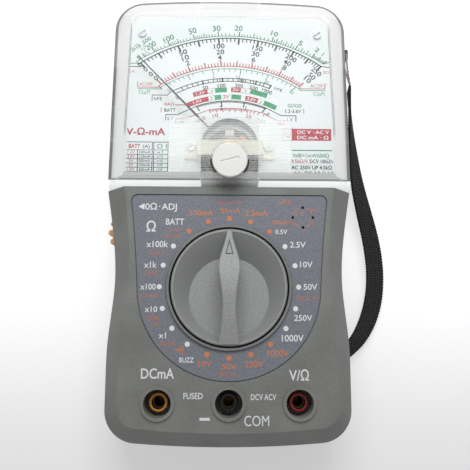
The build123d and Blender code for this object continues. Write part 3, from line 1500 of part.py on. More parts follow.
def lean_at(share):
    """The strap's lean at a share of its length, between the listed ones."""
    for (s0, lean0), (s1, lean1) in zip(STRAP_LEAN, STRAP_LEAN[1:]):
        if share <= s1:
            return lean0 + (lean1 - lean0) * (share - s0) / (s1 - s0)
    return STRAP_LEAN[-1][1]


def strap_section(share):
    """The strap's cross-section at a share of its length."""
    along = strap_wire.tangent_at(share)
    flat = along.cross(Vector(0, 0, 1)).normalized()
    plane = Plane(strap_wire.position_at(share), x_dir=flat, z_dir=along)
    with BuildSketch(plane) as section:
        Rectangle(STRAP_THICKNESS, STRAP_WIDTH, rotation=lean_at(share))
    return section.sketch


with BuildPart() as strap:
    loft([strap_section(i / STRAP_SECTIONS) for i in range(STRAP_SECTIONS + 1)])

thread_points = knob_frame(THREAD_ROUTE)
thread_radii = corner_radii(thread_points)
with BuildPart() as strap_thread:
    with BuildLine() as thread_path:
        FilletPolyline(*thread_points, radius=thread_radii)
    with BuildSketch(Plane(thread_points[0], z_dir=thread_path.line % 0)):
        Circle(THREAD_R)
    sweep()

# ---------------------------------------------------------------- files
pieces = {
    "case_back": case_back,
    "case_front": case_front,
    "label_panel": label_panel,
    "meter_cover": meter_cover,
    "zero_adjuster": zero_adjuster,
    "scale_plate": scale_plate,
    "yoke_ring": yoke_ring,
    "core_magnet": core_magnet,
    "core_bridges": core_bridges,
    "moving_coil": moving_coil,
    "coil_pivots": coil_pivots,
    "hairspring_upper": hairspring_upper,
    "hairspring_lower": hairspring_lower,
    "needle": needle,
    "upper_bridge": upper_bridge,
    "lower_bridge": lower_bridge,
    "jewel_screws": jewel_screws,
    "zero_lever": zero_lever,
    "plate_screws": plate_screws,
    "range_knob": range_knob,
    "knob_clip": knob_clip,
    "switch_rotor": switch_rotor,
    "wipers": wipers,
    "rotor_screw": rotor_screw,
    "detent_balls": detent_balls,
    "detent_springs": detent_springs,
    "jack_bush_left": jack_bush_left,
    "jack_bush_centre": jack_bush_centre,
    "jack_bush_right": jack_bush_right,
    "jack_sleeves": jack_sleeves,
    "circuit_board": circuit_board,
    "contact_tracks": contact_tracks,
    "resistors": resistors,
    "fuse": fuse,
    "fuse_clips": fuse_clips,
    "buzzer": buzzer,
    "ohm_potentiometer": ohm_potentiometer,
    "ohm_wheel": ohm_wheel,
    "hfe_socket": hfe_socket,
    "hfe_contacts": hfe_contacts,
    "round_cell_1": round_cell_1,
    "round_cell_2": round_cell_2,
    "cell_contacts": cell_contacts,
    "block_battery": block_battery,
    "block_connector": block_connector,
    "battery_door": battery_door,
    "door_screws": door_screws,
    "case_screws": case_screws,
    "strap_lug": strap_lug,
    "strap": strap,
    "strap_thread": strap_thread,
}
for name, piece in pieces.items():
    save(piece, name)
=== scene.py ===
"""Looks of an analogue multimeter: printed dial and panel, clear cover, woven wrist strap,
and the finish of every moulded, metal and wired piece. It lies on its back, face up."""

import json
from math import atan2, cos, degrees, hypot, pi, radians, sin, sqrt

import bmesh
import bpy
from mathutils import Matrix, Vector

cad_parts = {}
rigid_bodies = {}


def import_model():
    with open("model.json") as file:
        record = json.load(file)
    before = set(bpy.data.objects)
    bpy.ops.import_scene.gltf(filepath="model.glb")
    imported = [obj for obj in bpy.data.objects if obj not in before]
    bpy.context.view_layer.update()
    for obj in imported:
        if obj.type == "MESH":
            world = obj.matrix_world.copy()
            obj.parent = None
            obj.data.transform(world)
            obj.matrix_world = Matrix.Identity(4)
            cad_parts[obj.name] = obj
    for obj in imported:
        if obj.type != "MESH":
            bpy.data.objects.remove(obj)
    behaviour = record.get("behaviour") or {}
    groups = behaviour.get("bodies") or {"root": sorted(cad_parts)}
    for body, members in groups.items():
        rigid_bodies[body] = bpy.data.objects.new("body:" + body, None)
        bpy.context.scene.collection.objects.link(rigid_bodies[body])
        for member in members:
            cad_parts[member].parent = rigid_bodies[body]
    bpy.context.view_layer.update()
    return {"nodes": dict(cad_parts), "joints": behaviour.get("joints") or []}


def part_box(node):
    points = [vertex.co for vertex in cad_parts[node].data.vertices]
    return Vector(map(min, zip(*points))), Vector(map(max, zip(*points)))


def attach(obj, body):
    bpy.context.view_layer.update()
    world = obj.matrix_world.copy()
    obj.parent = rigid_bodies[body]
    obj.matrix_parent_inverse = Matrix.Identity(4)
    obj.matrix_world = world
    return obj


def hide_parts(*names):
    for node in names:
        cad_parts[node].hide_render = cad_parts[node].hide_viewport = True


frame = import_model()

# ---------------------------------------------------------------- places, from the frame
# Lengths are millimetres and places are measured from the knob's axis, unless they say otherwise.
MM = 0.001
PANEL_STEP = 0.3
ADJUSTER_RISE = 0.6
joints = {joint["name"]: joint for joint in frame["joints"]}
KNOB_Y = joints["knob_turn"]["pos_m"][1]
COIL_Y = (joints["needle_swing"]["pos_m"][1] - KNOB_Y) / MM
ADJUSTER_Y = (joints["zero_adjust"]["pos_m"][1] - KNOB_Y) / MM
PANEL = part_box("label_panel")[1].z / MM
FACE = PANEL + PANEL_STEP
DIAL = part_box("scale_plate")[1].z / MM
COVER_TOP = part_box("meter_cover")[1].z / MM - ADJUSTER_RISE


def at(x, y, z):
    """A place as metres of the frame."""
    return Vector((x * MM, KNOB_Y + y * MM, z * MM))


def placed(name, data):
    """A new object in the scene."""
    made = bpy.data.objects.new(name, data)
    bpy.context.scene.collection.objects.link(made)
    return made


def plain(working):
    """A mesh to keep, from one that was being worked on."""
    made = bpy.data.meshes.new("made")
    working.to_mesh(made)
    working.free()
    return made


# ---------------------------------------------------------------- nodes
def worked(operation, swapped=False):
    """An arithmetic sign on what nodes give out, as the node that works it."""

    def sign(self, other=0.0):
        return self.nodes.math(operation, *((other, self) if swapped else (self, other)))

    return sign


class Given:
    """What a node gives out. Plain arithmetic on it adds nodes; | is the larger of two."""

    __add__ = worked("ADD")
    __sub__ = worked("SUBTRACT")
    __rsub__ = worked("SUBTRACT", swapped=True)
    __mul__ = worked("MULTIPLY")
    __truediv__ = worked("DIVIDE")
    __mod__ = worked("MODULO")
    __or__ = worked("MAXIMUM")
    __abs__ = worked("ABSOLUTE")

    def __init__(self, nodes, socket):
        self.nodes = nodes
        self.socket = socket

    def through(self, operation, second=0.0):
        """This number after one step of arithmetic."""
        return self.nodes.math(operation, self, second)

    def between(self, low, high, a=0.0, b=1.0, smooth=True):
        """A number that goes from a to b as this one goes from low to high."""
        kind = {"interpolation_type": "SMOOTHSTEP" if smooth else "LINEAR"}
        return self.nodes.add("ShaderNodeMapRange", kind, in0=self, in1=low, in2=high, in3=a, in4=b)

    def within(self, low, high, soft=0.1):
        """1 where this place in metres lies between two lengths in millimetres."""
        start = self.between((low - soft) * MM, (low + soft) * MM)
        return start * self.between((high - soft) * MM, (high + soft) * MM, 1, 0)


class Nodes:
    """A node tree under construction, with short ways to add to it."""

    family = "ShaderNode"

    def __init__(self, tree):
        self.tree = tree

    def feed(self, socket, value):
        """Links a socket to what a node gives out, or sets it."""
        if isinstance(value, Given):
            self.tree.links.new(value.socket, socket)
        else:
            socket.default_value = value

    def add(self, kind, settings=None, out=0, **sockets):
        """A new node's output; its sockets are set or linked by name, or by count as in0, in1."""
        made = self.tree.nodes.new(kind if "Node" in kind else self.family + kind)
        for key, value in (settings or {}).items():
            setattr(made, key, value)
        for name, value in sockets.items():
            counted = name.startswith("in") and name[2:].isdigit()
            self.feed(made.inputs[int(name[2:]) if counted else name.replace("_", " ")], value)
        return Given(self, made.outputs[out])

    def math(self, operation, first, second=0.0):
        return self.add("ShaderNodeMath", {"operation": operation}, in0=first, in1=second)

    def vector(self, operation, first, second=(0, 0, 0), out=0):
        return self.add("ShaderNodeVectorMath", {"operation": operation}, out, in0=first, in1=second)

    def part(self, vector, letter):
        """One coordinate of a vector."""
        return self.add("ShaderNodeSeparateXYZ", out=letter, Vector=vector)

    def ray(self, kind):
        """1 for one kind of ray."""
        return self.add("ShaderNodeLightPath", out=f"Is {kind} Ray")


# ---------------------------------------------------------------- finishes
def shade(red, green, blue):
    """A shader's colour for one given as it looks, 0 to 255."""
    parts = [c / 255 for c in (red, green, blue)]
    return tuple(((c + 0.055) / 1.055) ** 2.4 if c > 0.04 else c / 12.92 for c in parts) + (1.0,)


class Finish(Nodes):
    """A material under construction, and what feeds its shader."""

    def __init__(self, name, colour, roughness=0.5, **sockets):
        self.material = bpy.data.materials.new(name)
        self.material.use_nodes = True
        super().__init__(self.material.node_tree)
        self.surface = self.tree.nodes["Principled BSDF"]
        self.colour = shade(*colour)
        for socket, value in {"Base_Color": self.colour, "Roughness": roughness, **sockets}.items():
            self.drive(socket.replace("_", " "), value)
        self.place = self.add("TexCoord", out="Object")

    def drive(self, socket, value):
        """Feeds one of the shader's own sockets."""
        self.feed(self.surface.inputs[socket], value)

    def noise(self, scale, detail=3.0, roughness=0.5, where=None, distortion=0.0):
        """Noise from 0 to 1, with scale in features a metre."""
        return self.add(
            "TexNoise", Vector=where or self.place, Scale=scale, Detail=detail,
            Roughness=roughness, Distortion=distortion,
        )

    def stretch(self, by, move=(0, 0, 0), turn=(0, 0, 0)):
        """The place, moved, turned and stretched before a pattern reads it."""
        return self.add("Mapping", Vector=self.place, Scale=by, Location=move, Rotation=turn)

    def axis(self, letter):
        """One coordinate of the place, in metres."""
        return self.part(self.place, letter)

    def normal(self):
        return self.add("NewGeometry", out="Normal")

    def facing(self, letter):
        """How far the surface faces along an axis, -1 to 1."""
        return self.part(self.normal(), letter)

    def blend(self, factor, first, second):
        """A colour between two colours."""
        return self.add("Mix", {"data_type": "RGBA"}, 2, in0=factor, in6=first, in7=second)

    def varied(self, factor, spread):
        """The finish's own colour, a little darker and lighter by a factor."""
        dark = tuple(c * (1 - spread) for c in self.colour[:3]) + (1.0,)
        light = tuple(min(1.0, c * (1 + spread)) for c in self.colour[:3]) + (1.0,)
        return self.blend(factor, dark, light)

    def coat(self, tint, dull, height, depth, strength=0.6):
        """Feeds colour, roughness and a height of 0 to 1 that stands for a depth in millimetres."""
        self.drive("Base Color", tint)
        self.drive("Roughness", dull)
        self.drive("Normal", self.add("Bump", Height=height, Strength=strength, Distance=depth * MM))
        return self

    def mixed(self, factor, first, second):
        """Two shaders as one."""
        return self.add("MixShader", in0=factor, in1=first, in2=second)


def moulded(name, colour, roughness, grain, size, spread):
    """Moulded plastic: spark-eroded grain, faint cloudiness and an uneven sheen."""
    made = Finish(name, colour)
    pits = made.noise(size, 2, 0.6)
    tone = made.noise(55, 3) * 0.6 + pits * 0.4
    dull = pits.between(0.3, 0.7, roughness - 0.07, roughness + 0.08)
    return made.coat(made.varied(tone.between(0.3, 0.7), spread), dull, pits, grain)


def polished(name, colour, roughness, spread):
    """Smooth glossy plastic with faint flow marks and handling haze."""
    made = Finish(name, colour)
    tint = made.varied(made.noise(120, 2, 0.5, distortion=0.6), spread)
    haze = made.noise(420, 4, 0.6).between(0.35, 0.75, roughness, roughness + 0.12)
    return made.coat(tint, haze, made.noise(900, 2), 0.01, 0.3)


def metal(name, colour, roughness, along, tarnish):
    """Turned, drawn or stamped metal: fine tool lines and a little tarnish."""
    made = Finish(name, colour, Metallic=1.0)
    slow = [0.05 if letter == along else 1 for letter in "XYZ"]
    lines = made.noise(4200, 2, 0.5, where=made.stretch(slow))
    stains = made.noise(260, 4, 0.6).between(0.5, 0.8)
    worn = lines.between(0.3, 0.7, roughness - 0.08, roughness + 0.12)
    return made.coat(made.blend(stains, made.colour, shade(*tarnish)), worn, lines, 0.012, 0.4)


def ink(name, colour, roughness=0.55):
    """Screen-printed ink: a little uneven in its tone and sheen."""
    made = Finish(name, colour)
    made.drive("Base Color", made.varied(made.noise(1800, 2, 0.6), 0.05))
    made.drive("Roughness", made.noise(600).between(0.3, 0.7, roughness - 0.06, roughness + 0.06))
    return made


def wear(finish, *nodes):
    """Gives CAD nodes one finish."""
    for name in nodes:
        mesh = frame["nodes"][name].data
        mesh.materials.clear()
        mesh.materials.append(finish.material)


# Case, knob and panel.
def panel_film():
    """Speckled blue-grey film."""
    film = Finish("panel_film", (130, 133, 143))
    speck = film.noise(1400, 3, 0.7)
    tint = film.varied(speck.between(0.35, 0.65), 0.14)
    return film.coat(tint, film.noise(140).between(0.3, 0.7, 0.5, 0.62), speck, 0.015, 0.5)


MARK_HALF, MARK_FOOT, MARK_TIP, GROOVE = 1.6, 11.9, 18.1, 0.46


def pointer_mark(knob):
    """1 on the groove of the triangle engraved near the tip of the bar."""
    y = knob.axis("Y") - KNOB_Y
    lean = MARK_HALF / (MARK_TIP - MARK_FOOT)
    inward = y * lean + abs(knob.axis("X"))
    side = MARK_HALF + MARK_FOOT * lean
    triangle = inward.within(-9, side, 0.03) * y.within(MARK_FOOT, MARK_TIP, 0.03)
    middle = inward.within(-9, side - GROOVE, 0.03) * y.within(MARK_FOOT + GROOVE, MARK_TIP, 0.03)
    return triangle - middle


def knob_grey():
    """Grained grey, smooth on its slopes and painted darker there as shade, and darker in the groove of its
    mark.
    """
    knob = Finish("knob_grey", (170, 172, 171))
    shaded_smooth_slope = knob.facing("Z").between(0.86, 0.995, 1, 0)
    grain = knob.noise(1500, 2, 0.6)
    # Painted shade: the slopes darker than the flat.
    tone = knob.blend(shaded_smooth_slope, knob.varied(grain.between(0.35, 0.65), 0.12), shade(160, 162, 161))
    tint = knob.blend(pointer_mark(knob), tone, shade(106, 108, 108))
    return knob.coat(tint, shaded_smooth_slope.between(0, 1, 0.52, 0.3), grain * shaded_smooth_slope.between(0, 1, 1, 0.15), 0.04)


wear(moulded("grained_grey", (134, 136, 133), 0.52, 0.08, 1350, 0.16), "case_front")
wear(moulded("rear_grey", (108, 110, 107), 0.55, 0.05, 2000, 0.05), "case_back", "battery_door")
wear(panel_film(), "label_panel")
wear(knob_grey(), "range_knob")
wear(moulded("rotor_white", (214, 211, 200), 0.4, 0.01, 1500, 0.03), "switch_rotor")

# Clear cover.
RIB_HALF = 23.2
RIB_LOW, RIB_TOP = 40.5, 62.6
RIB_PITCH = 0.95
POLE_HALF = 11.0
FRONT_HALF = 41.1
RIM_Z = 39.8
RIM_Y = 104.3
RIM_CORNER = 139.4  # where the rim cuts the corners: X and Y added
END_WALL = 105.0
FOOT = 20.0
POLE_TOP = 49.0
HOOK_LOW, HOOK_HIGH, HOOK_X = 59.3, 70.5, 44.6
# Reach of the painted shadow round the adjuster, from its axis.
GAP_SHADOW_IN, GAP_SHADOW_OUT = 6.3, 7.5
DENSITY = 1.45


def painted_edge_lines(x, y, z, upness):
    """Painted shade: dark lines along the ends of the cover's flat front and of its bevel."""
    inner = (x + y * 0.03).within(41.2, 41.5) * y.within(57, 101, 2)
    bend = x.within(-1, FRONT_HALF) * y.within(39.4, 39.9)
    outer = z.within(39.35, RIM_Z) * upness.between(0.965, 0.98, 1, 0)
    return inner | outer | bend


def painted_rib_veil(y, z, across, in_middle):
    """Painted white veil for the blur of the ribs over the movement, thinner over the space between the
    poles.
    """
    ripple = (y * (2 * pi / (RIB_PITCH * MM))).through("SINE")
    underside = z.between((COVER_TOP - 1.5) * MM, (COVER_TOP - 1.4) * MM, 1, 0)
    thinner = in_middle * y.within(RIB_LOW, POLE_TOP) * 0.2
    over = across * y.within(RIB_LOW, RIB_TOP, 1.6) * underside
    return over * (ripple.between(-1, 1, 0.14, 0.55) - thinner)


def painted_gap_shadow(x, y, z):
    """Painted shadow in the gaps beside the lower half of the adjuster."""
    below = y - ADJUSTER_Y * MM
    spread = (x.through("POWER", 2) + below.through("POWER", 2)).through("SQRT")
    ring = spread.within(GAP_SHADOW_IN, GAP_SHADOW_OUT, 0.2) * below.within(-5.2, 0.6, 0.6)
    return ring * z.between(40.5 * MM, 41 * MM)


def clear_cover():
    """Clear over the dial, ribbed low down, with a painted veil over its walls, bevel, rim and ribs: painted
    white light over most of them, painted shade down the side walls, at its bends and in gaps.
    """
    clear = Finish("clear_moulding", (240, 245, 246))
    clear.tree.nodes.remove(clear.surface)
    x, y, z = abs(clear.axis("X")), clear.axis("Y") - KNOB_Y, clear.axis("Z")
    upness = abs(clear.facing("Z"))
    level_front = upness.between(0.965, 0.99)
    upright = upness.between(0.3, 0.5, 1, 0)
    facing_low = upright * clear.facing("Y").between(-0.8, -0.5, 1, 0)
    in_middle = x.within(-1, POLE_HALF)
    # Painted shade lines at the cover's bends.
    lines = painted_edge_lines(x, y, z, upness)
    gap_shadow = painted_gap_shadow(x, y, z)
    # Painted veil: most off the flat front, less on upright walls, more on the low wall.
    painted_veil = level_front.between(0, 1, 0.8, 0.0) - upright * 0.2 + facing_low * 0.3
    # Painted white over the rim and its cut corners, where the pocket beyond the plate lies in shade.
    corner = (x + y).between(RIM_CORNER * MM, (RIM_CORNER + 0.5) * MM)
    rim = y.between(RIM_Y * MM, (RIM_Y + 0.4) * MM) | corner * level_front
    painted_veil = painted_veil | rim * 0.93 | lines * 0.6
    painted_veil = painted_veil | painted_rib_veil(y, z, x.within(-1, RIB_HALF) * level_front, in_middle)
    # Clearer over the low wall and the end wall in the middle.
    low_middle = in_middle * y.within(FOOT, RIB_LOW)
    top_middle = x.within(-1, POLE_HALF + 0.8) * y.between(END_WALL * MM, (END_WALL + 0.3) * MM)
    painted_veil = painted_veil * (1.0 - (low_middle + top_middle * 0.5) * 0.55)
    side_wall = upright * abs(clear.facing("X")).between(0.5, 0.8)
    painted_veil = painted_veil | side_wall * 0.88 | gap_shadow * 0.9
    # The painted veil's tone: painted shade down the side walls, darker toward the end wall, painted shade
    # lines at the bends, darker over the hooks, and painted shadow in the gaps.
    side_wall_shade = clear.blend(y.between(60 * MM, END_WALL * MM), shade(150, 153, 152), shade(108, 111, 111))
    painted_veil_tone = clear.blend(side_wall, shade(252, 253, 252), side_wall_shade)
    painted_veil_tone = clear.blend(lines, painted_veil_tone, shade(140, 143, 143))
    hook = y.within(HOOK_LOW, HOOK_HIGH) * x.between(HOOK_X * MM, (HOOK_X + 0.3) * MM)
    painted_veil_tone = clear.blend(hook, painted_veil_tone, shade(92, 95, 95))
    painted_veil_tone = clear.blend(gap_shadow, painted_veil_tone, shade(60, 58, 52))
    # Seen square on, the upright walls are clear; seen along them, they carry the painted veil.
    along = clear.add("LayerWeight", out="Facing", Blend=0.5).between(0.5, 0.7)
    square_on = upright * (1.0 - (along | hook))
    painted_veil = painted_veil * square_on.between(0, 1, 1.0, 0.22, smooth=False)
    painted_veil_tone = clear.blend(square_on, painted_veil_tone, shade(236, 240, 239))
    # Light and shadow pass through nearly everywhere.
    lit_through = (clear.ray("Shadow") | clear.ray("Diffuse")).between(0, 1, 1, 0.06)
    # The painted veil is lit as if it faced up, and from behind on upright walls.
    lifted = clear.vector("NORMALIZE", clear.vector("ADD", clear.normal(), (0, 0, 1.6)))
    diffuse = clear.add("BsdfDiffuse", Color=painted_veil_tone, Normal=lifted)
    translucent = clear.add("BsdfTranslucent", Color=painted_veil_tone)
    haze = clear.mixed(upright * 0.3 + facing_low * 0.55, diffuse, translucent)
    see = clear.add("BsdfTransparent", Color=shade(254, 255, 255))
    body = clear.mixed(painted_veil * lit_through, see, haze)
    # Painted glow: the low wall and the bevel there give out light of their own, standing in for light that
    # clear plastic carries along inside it.
    painted_glow = clear.facing("Y").between(-0.75, -0.5, 1, 0) * (1.0 - lines)
    painted_glow = painted_glow * (1.0 - in_middle) * (lit_through * along)
    glow = clear.add("Emission", Color=shade(250, 252, 251), Strength=painted_glow * 0.42)
    shining = clear.add("AddShader", in0=body, in1=glow)
    scratch = clear.noise(700, 4, 0.7, where=clear.stretch((1, 0.08, 1), turn=(0, 0, 0.5)))
    roughness = scratch.between(0.45, 0.8, 0.03, 0.12)
    gloss = clear.add("BsdfAnisotropic", Color=shade(250, 252, 252), Roughness=roughness)
    # The same reflection from inside as from outside, since nothing here bends the light.
    inside = clear.add("NewGeometry", out="Backfacing")
    density = inside.between(0, 1, DENSITY, 1 / DENSITY, smooth=False)
    sheen = clear.add("Fresnel", IOR=density) * lit_through
    sheen = sheen * level_front.between(0, 1, 1.0, 0.35)
    clear.feed(clear.tree.nodes["Material Output"].inputs["Surface"], clear.mixed(sheen, shining, gloss))
    return clear


wear(clear_cover(), "meter_cover")
wear(polished("adjuster_white", (246, 246, 243), 0.25, 0.015), "zero_adjuster")


# Dial plate and the movement behind it.
def dial_white():
    """Matt white lacquer."""
    dial = Finish("dial_white", (247, 251, 251))
    tint = dial.varied(dial.noise(900, 3, 0.6), 0.012)
    return dial.coat(tint, dial.noise(300).between(0.3, 0.7, 0.45, 0.55), dial.noise(3000, 2), 0.004, 0.3)


def coil_wire():
    """Varnished copper, wound in fine turns, with painted light on each turn's crown and painted shade
    between turns.
    """
    wire = Finish("varnished_wire", (176, 96, 52), Metallic=0.8, Coat_Weight=0.5, Coat_Roughness=0.15)
    turns = (wire.axis("Z") * (2 * pi / (0.18 * MM))).through("SINE")
    return wire.coat(wire.varied(turns.between(-1, 1), 0.25), 0.3, turns, 0.03, 0.7)


wear(dial_white(), "scale_plate")
wear(polished("screw_paint", (240, 244, 244), 0.3, 0.02), "plate_screws")
wear(ink("needle_black", (26, 26, 28), 0.4), "needle")
wear(metal("soft_iron", (116, 116, 118), 0.42, "Z", (92, 84, 76)), "yoke_ring", "core_magnet")
cream = moulded("bridge_cream", (236, 229, 204), 0.42, 0.01, 1500, 0.03)
wear(cream, "upper_bridge", "lower_bridge", "core_bridges")
brass = metal("bright_brass", (214, 180, 112), 0.28, "Z", (150, 116, 66))
wear(brass, "jewel_screws", "zero_lever", "contact_tracks", "hairspring_upper", "hairspring_lower")
wear(brass, "fuse_clips", "hfe_contacts", "wipers")
# Brass much darker than the bright brass, for the sleeves down in the jacks' bores.
wear(metal("dull_brass", (112, 96, 66), 0.4, "Z", (60, 50, 38)), "jack_sleeves")
steel = metal("bright_steel", (198, 199, 200), 0.26, "X", (174, 175, 176))
wear(steel, "coil_pivots", "knob_clip", "rotor_screw", "detent_balls")
wear(steel, "detent_springs", "cell_contacts", "door_screws", "case_screws")
wear(coil_wire(), "moving_coil")


# Jacks, wheel, battery bay and the board.
def collar(name, node, colour):
    """A jack's coloured collar with a dark liner round its bore."""
    made = polished(name, colour, 0.22, 0.06)
    low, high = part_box(node)
    offset = made.stretch((1, 1, 0), move=(-(low.x + high.x) / 2, -(low.y + high.y) / 2, 0))
    liner = made.vector("LENGTH", offset, out="Value").between(2.5 * MM, 2.6 * MM, 1, 0)
    plastic = Given(made, made.surface.inputs["Base Color"].links[0].from_socket)
    made.drive("Base Color", made.blend(liner, plastic, shade(34, 30, 28)))
    wear(made, node)


def green_board():
    """Lacquered board with brighter lacquer over its copper."""
    board = Finish("green_board", (70, 108, 62), Coat_Weight=0.4, Coat_Roughness=0.2)
    fibre = board.add("TexChecker", out="Fac", Vector=board.place, Scale=1500)
    edges = {"feature": "DISTANCE_TO_EDGE"}
    copper = board.add("TexVoronoi", edges, "Distance", Vector=board.place, Scale=160)
    track = copper.between(0.05, 0.08, 1, 0)
    tint = board.blend(track, board.varied(fibre * 0.6, 0.08), shade(96, 138, 80))
    return board.coat(tint, 0.35, track, 0.03, 0.5)


RESISTOR_X = 28.5
BAND_COLOURS = ((0.0, (120, 60, 30)), (0.4, (30, 30, 30)), (0.7, (190, 40, 30)), (1.0, (190, 150, 60)))


def banded_resistor():
    """Painted body with bands of several colours, and bright leads."""
    made = Finish("banded_resistor", (196, 170, 126), 0.3, Coat_Weight=0.6, Coat_Roughness=0.1)
    along = abs(abs(made.axis("X")) - RESISTOR_X * MM)
    lead = along.between(3.0 * MM, 3.2 * MM)
    bands = (along * (2 * pi / (1.25 * MM))).through("SINE").between(0.45, 0.55)
    step = (along * 800).through("FLOOR")
    pick = made.add("TexWhiteNoise", {"noise_dimensions": "1D"}, "Value", W=step)
    paint = made.add("ValToRGB", out="Color", Fac=pick)
    ramp = paint.socket.node.color_ramp
    while len(ramp.elements) < len(BAND_COLOURS):
        ramp.elements.new(1.0)
    for element, (position, colour) in zip(ramp.elements, BAND_COLOURS):
        element.position = position
        element.color = shade(*colour)
    made.drive("Base Color", made.blend(lead, made.blend(bands, made.colour, paint), shade(200, 200, 200)))
    made.drive("Metallic", lead)
    return made


def fuse_glass():
    """Thin glass between bright caps."""
    glass = Finish("fuse_glass", (225, 232, 232), 0.08)
    caps = abs(glass.axis("X")).between(6.4 * MM, 6.5 * MM)
    glass.drive("Base Color", glass.blend(caps, glass.colour, shade(200, 200, 198)))
    glass.drive("Metallic", caps)
    glass.drive("Alpha", caps.between(0, 1, 0.4, 1))
    return glass


def sleeved_cell(name, colour, band, start, axis):
    """A battery's sleeve: plain lacquer, of another colour past a place on an axis."""
    made = Finish(name, colour, Metallic=0.35, Coat_Weight=0.5, Coat_Roughness=0.12)
    in_band = made.axis(axis).between(start, start + 0.1 * MM)
    made.drive("Base Color", made.blend(in_band, made.varied(made.noise(90), 0.05), shade(*band)))
    made.drive("Roughness", made.noise(700, 3).between(0.3, 0.7, 0.24, 0.36))
    return made


collar("bush_yellow", "jack_bush_left", (232, 156, 52))
collar("bush_black", "jack_bush_centre", (34, 33, 33))
collar("bush_red", "jack_bush_right", (176, 34, 36))
wear(polished("wheel_orange", (252, 190, 128), 0.3, 0.06), "ohm_wheel")
black_moulding = moulded("black_moulding", (34, 34, 35), 0.45, 0.02, 1800, 0.08)
wear(black_moulding, "strap_lug", "hfe_socket", "buzzer", "ohm_potentiometer", "block_connector")
wear(green_board(), "circuit_board")
wear(banded_resistor(), "resistors")
wear(fuse_glass(), "fuse")
band_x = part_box("round_cell_1")[1].x - 13 * MM
band_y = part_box("block_battery")[1].y - 14 * MM
wear(sleeved_cell("cell_blue", (58, 78, 122), (206, 208, 210), band_x, "X"), "round_cell_1", "round_cell_2")
wear(sleeved_cell("block_dark", (70, 71, 74), (188, 160, 88), band_y, "Y"), "block_battery")


# ---------------------------------------------------------------- printing
PRINT = 0.025
LETTER_SPREAD = 0.012
NARROW = 0.92
LETTER_STEPS = 3


class Sheet:
    """Flat print in one ink, gathered face by face at one height, drawn a little bolder by a spread."""

    def __init__(self, name, height, finish, spread=1.0):
        self.name = name
        self.spread = spread
        self.height = height + PRINT
        self.material = finish.material
        self.mesh = bmesh.new()
        self.marks = []

    def face(self, points):
        self.mesh.faces.new([self.mesh.verts.new((x, y, 0)) for x, y in points])

    def line(self, points, width=0.3):
        """A line through points, with square ends and joints."""
        width *= self.spread
        for (x0, y0), (x1, y1) in zip(points, points[1:]):
            run = hypot(x1 - x0, y1 - y0)
            u, v = (x1 - x0) / run * width / 2, (y1 - y0) / run * width / 2
            ends = [(x0 - u, y0 - v, -1), (x1 + u, y1 + v, -1), (x1 + u, y1 + v, 1), (x0 - u, y0 - v, 1)]
            self.face([(x - s * v, y + s * u) for x, y, s in ends])

    def lines(self, width, *routes):
        for points in routes:
            self.line(points, width)

    def strip(self, outer, inner):
        """A band between two rows of points."""
        for a, b, c, d in zip(outer, outer[1:], inner[1:], inner):
            self.face([a, b, c, d])

    def arc(self, curve, first, last, width=0.3, steps=48):
        """A printed arc between two places on a curve."""
        width *= self.spread
        places = [first + (last - first) * i / steps for i in range(steps + 1)]
        self.strip([curve(p, width / 2) for p in places], [curve(p, -width / 2) for p in places])

    def disc(self, x, y, radius, hole=0.0, steps=24):
        turns = [2 * pi * i / steps for i in range(steps + 1)]
        rim = [(x + radius * cos(t), y + radius * sin(t)) for t in turns]
        if hole:
            self.strip(rim, [(x + hole * cos(t), y + hole * sin(t)) for t in turns])
        else:
            self.face(rim[:-1])

    def words(self, text, x, y, height, width=None, turn=0.0, weight=0.0):
        """Lettering centred on a place: height of its capitals, its whole width, turned in degrees."""
        letters = lettering(text, weight + LETTER_SPREAD * (self.spread - 1))
        across = [v.co.x for v in letters.vertices]
        size = height / CAPITAL
        reach = max(across) - min(across)
        stretch = width / reach if width else size * NARROW
        middle = (max(across) + min(across)) / 2
        place = Matrix.Translation((x, y, 0)) @ Matrix.Rotation(radians(turn), 4, "Z")
        place = place @ Matrix.Diagonal((stretch, size, 1, 1))
        letters.transform(place @ Matrix.Translation((-middle, -CAPITAL / 2, 0)))
        self.mesh.from_mesh(letters)
        bpy.data.meshes.remove(letters)

    def labels(self, *rows, weight=0.0):
        """Words, each given as text, place, height, width and turn."""
        for row in rows:
            self.words(*row, weight=weight)

    def mark(self, x, y, turn, length, width):
        """A graduation, standing on a place and reaching away from it."""
        self.marks.append((x, y, turn, length, width * self.spread))

    def laid(self):
        """Puts the print on the case."""
        if self.marks:
            self.mesh.from_mesh(graduations(self.marks))
        bmesh.ops.triangulate(self.mesh, faces=self.mesh.faces)
        place = Matrix.Translation(at(0, 0, self.height)) @ Matrix.Scale(MM, 4)
        bmesh.ops.transform(self.mesh, matrix=place, verts=self.mesh.verts)
        self.mesh.normal_update()
        for printed in self.mesh.faces:
            printed.smooth = False
            if printed.normal.z < 0:
                printed.normal_flip()
        piece(self.name, plain(self.mesh), self.material, "case")


def lettering(text, weight=0.0):
    """Words as a flat mesh, in the built-in type at its own size."""
    curve = bpy.data.curves.new("letters", "FONT")
    curve.body = text
    curve.offset = weight
    curve.resolution_u = LETTER_STEPS
    shape = placed("letters", curve)
    letters = bpy.data.meshes.new_from_object(shape)
    bpy.data.objects.remove(shape)
    bpy.data.curves.remove(curve)
    return letters


def capital_height():
    """Height of a capital letter in the built-in type at its own size."""
    letter = lettering("H")
    tall = max(v.co.y for v in letter.vertices)
    bpy.data.meshes.remove(letter)
    return tall


CAPITAL = capital_height()


def piece(name, data, material, body):
    """A finished mesh as an object that rides on a body."""
    data.name = name
    data.materials.clear()
    data.materials.append(material)
    made = placed(name, data)
    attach(made, body)
    return made


